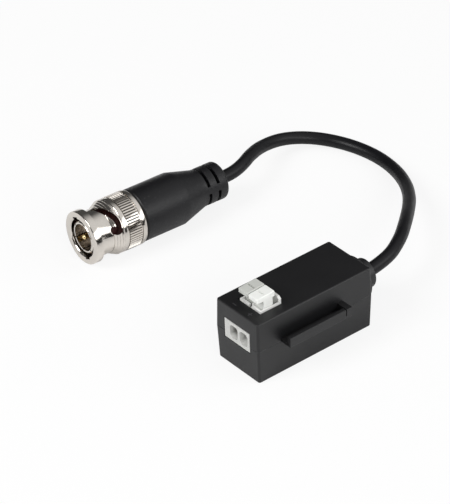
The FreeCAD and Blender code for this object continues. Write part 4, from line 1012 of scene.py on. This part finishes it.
@dataclass
class Plug:
    """The bayonet plug: coupling ring, body, seal, insulator, pin and boot."""

    nose: tuple[float, float, float] = (-59.97, -18.4, 7.3)
    yaw: float = 3.1
    length: float = 42.0 * MM
    edge: float = 0.08 * MM

    def axis(self) -> Vector:
        """The direction from the nose to the boot."""
        turn = math.radians(self.yaw)
        return Vector((math.sin(turn), math.cos(turn), 0.0))

    def place(self) -> Matrix:
        """The plug's frame: x is up, y is to the right of the axis and z runs along it."""
        up = Vector((0.0, 0.0, 1.0))
        view = Matrix((up, self.axis().cross(up), self.axis())).transposed().to_4x4()
        view.translation = Vector(self.nose) * MM
        return view

    def boot_end(self) -> Vector:
        """The centre of the boot's end face."""
        return Vector(self.nose) * MM + self.axis() * self.length

    def build(self, finishes: Finishes) -> list[bpy.types.Object]:
        """Builds and dresses the plug.

        Args:
            finishes: the finishes of every slot.

        Returns:
            The plug's shown pieces.
        """
        ring = new_piece("bayonet_ring_skin", CouplingRing().build(self.place()), "coupling")
        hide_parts("bayonet_ring")
        even_normals(ring)
        finishes.dress(ring, Slot.NICKEL)
        pieces = [ring]
        skins = {
            "plug_body": (self.edge / 2, Slot.NICKEL),
            "plug_boot": (self.edge, Slot.BOOT),
            "centre_pin": (self.edge, Slot.GOLD),
            "gasket": (self.edge, Slot.SEAL),
            "plug_insulator": (self.edge, Slot.INSULATOR),
        }
        for node, (edge, slot) in skins.items():
            piece = skin_of(node, edge=edge)
            finishes.dress(piece, slot)
            pieces.append(piece)
        plain = {
            "cable_end_plug": Slot.JACKET,
            "crimp_ferrule": Slot.NICKEL,
            "wave_washer": Slot.SPRING,
            "thrust_washer": Slot.NICKEL,
            "retaining_ring": Slot.NICKEL,
        }
        for node, slot in plain.items():
            piece = frame["nodes"][node]
            finishes.dress(piece, slot)
            pieces.append(piece)
        return pieces


@dataclass
class Studio:
    """The camera, the lamps, the floor and the backdrop."""

    camera_place: tuple[float, float, float] = (0.44458, -0.36567, 0.42861)
    azimuth: float = 52.15
    elevation: float = 34.94
    roll: float = -2.35
    focal_pixels: float = 3000.0
    image_height: float = 504.0
    sensor: float = 36.0
    floor_colour: Colour = (0.9, 0.9, 0.9)
    floor_seen: float = 0.85
    floor_mirrored: float = 0.12
    dome_bright: tuple[float, float, float] = (0.45, 0.50, 0.74)
    dome_from: float = 0.42
    dome_rise: tuple[float, float] = (0.04, 0.32)
    dome_low: float = 0.08
    dome_gain: float = 0.75

    def camera(self) -> None:
        """Makes the camera at the photograph's viewing angle."""
        turn, lift, roll = (math.radians(a) for a in (self.azimuth, self.elevation, self.roll))
        level = Vector((math.cos(turn), math.sin(turn), 0.0))
        back = Vector((math.sin(turn) * math.cos(lift), -math.cos(turn) * math.cos(lift), math.sin(lift)))
        up = back.cross(level)
        right = level * math.cos(roll) + up * math.sin(roll)
        top = up * math.cos(roll) - level * math.sin(roll)
        view = Matrix((right, top, back)).transposed().to_4x4()
        view.translation = Vector(self.camera_place)
        data = bpy.data.cameras.new("camera")
        data.sensor_width = self.sensor
        data.lens = self.focal_pixels * self.sensor / self.image_height
        data.clip_start = 0.01
        data.clip_end = 20.0
        camera = bpy.data.objects.new("camera", data)
        bpy.context.scene.collection.objects.link(camera)
        camera.matrix_world = view
        bpy.context.scene.camera = camera

    def lamp(self, name: str, place: tuple[float, float, float], size: tuple[float, float], power: float) -> None:
        """Adds a soft rectangular lamp that points at the object.

        Args:
            name: the lamp's name.
            place: where it stands, in metres.
            size: its width and height in metres.
            power: its power in watts.
        """
        data = bpy.data.lights.new(name, "AREA")
        data.shape = "RECTANGLE"
        data.size, data.size_y = size
        data.energy = power
        lamp = bpy.data.objects.new(name, data)
        bpy.context.scene.collection.objects.link(lamp)
        aim = Vector(place) - Vector((-0.02, 0.01, 0.01))
        lamp.rotation_mode = "QUATERNION"
        lamp.rotation_quaternion = aim.to_track_quat("Z", "Y")
        lamp.location = place

    def build(self) -> None:
        """Builds the whole studio."""
        self.camera()
        self.lamp("key_lamp", (-0.16, -0.78, 0.70), (0.5, 0.5), 7.7)
        self.lamp("back_softbox", (0.72, 0.48, 0.42), (0.9, 0.50), 2.8)
        self.lamp("side_softbox", (0.85, -0.20, 0.42), (0.5, 0.4), 3.0)
        self.floor()
        self.backdrop()
        bpy.context.scene.view_settings.view_transform = "Standard"

    def floor(self) -> None:
        """Lays a wide pale floor that keeps the object's shadow."""
        shape = bmesh.new()
        bmesh.ops.create_grid(shape, x_segments=1, y_segments=1, size=3.0)
        mesh = bpy.data.meshes.new("floor")
        shape.to_mesh(mesh)
        shape.free()
        graph = Graph("floor")
        seen = graph.add("LightPath", output="Is Camera Ray") * self.floor_seen
        mirrored = graph.add("LightPath", output="Is Glossy Ray") * self.floor_mirrored
        paper = graph.add("BsdfDiffuse", None, {"Color": self.floor_colour})
        glow = graph.add("Emission", None, {"Color": (1.0, 1.0, 1.0), "Strength": 1.0})
        both = graph.add("MixShader", None, {0: seen + mirrored, 1: paper, 2: glow})
        graph.tree.links.new(both.socket, graph.output.inputs["Surface"])
        mesh.materials.append(graph.material)
        floor = bpy.data.objects.new("floor", mesh)
        bpy.context.scene.collection.objects.link(floor)
        floor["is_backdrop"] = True

    def backdrop(self) -> None:
        """Makes the world white to the camera and a softly graded dome to the object."""
        world = bpy.data.worlds.new("backdrop")
        bpy.context.scene.world = world
        graph = Graph("backdrop", world)
        place = graph.add("TexCoord", output="Generated")
        near = graph.along(place, Vector(self.dome_bright).normalized())
        height = graph.along(place, Vector((0.0, 0.0, 1.0)))
        glow = graph.ramp(near, self.dome_from, 1.0) * graph.ramp(height, *self.dome_rise)
        soft = graph.add("Background", None, {"Strength": glow * self.dome_gain + self.dome_low})
        white = graph.add("Background", None, {"Strength": 1.0})
        for background in (soft, white):
            background.socket.node.inputs["Color"].default_value = (1.0, 1.0, 1.0, 1.0)
        seen = graph.add("LightPath", output="Is Camera Ray")
        both = graph.add("MixShader", None, {0: seen, 1: soft, 2: white})
        graph.tree.links.new(both.socket, graph.output.inputs["Surface"])


def main() -> None:
    """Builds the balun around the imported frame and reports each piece."""
    logging.basicConfig(level=logging.INFO, format="%(name)s: %(message)s")
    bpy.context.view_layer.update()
    Studio().build()
    plug = Plug()
    finishes = Finishes(Vector(plug.nose) * MM, plug.axis())
    Housing(finishes).build()
    Terminal(finishes).build()
    Electronics(finishes).build()
    on_lead = plug.build(finishes)
    lead_plan = Lead(finishes)
    lead = lead_plan.build(plug.boot_end(), plug.axis())
    2 * lead_plan.radius
    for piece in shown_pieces():
        LOG.info("%s: %s", piece.name, piece.type.lower())
    bpy.context.view_layer.update()


if __name__ == "__main__":
    main()
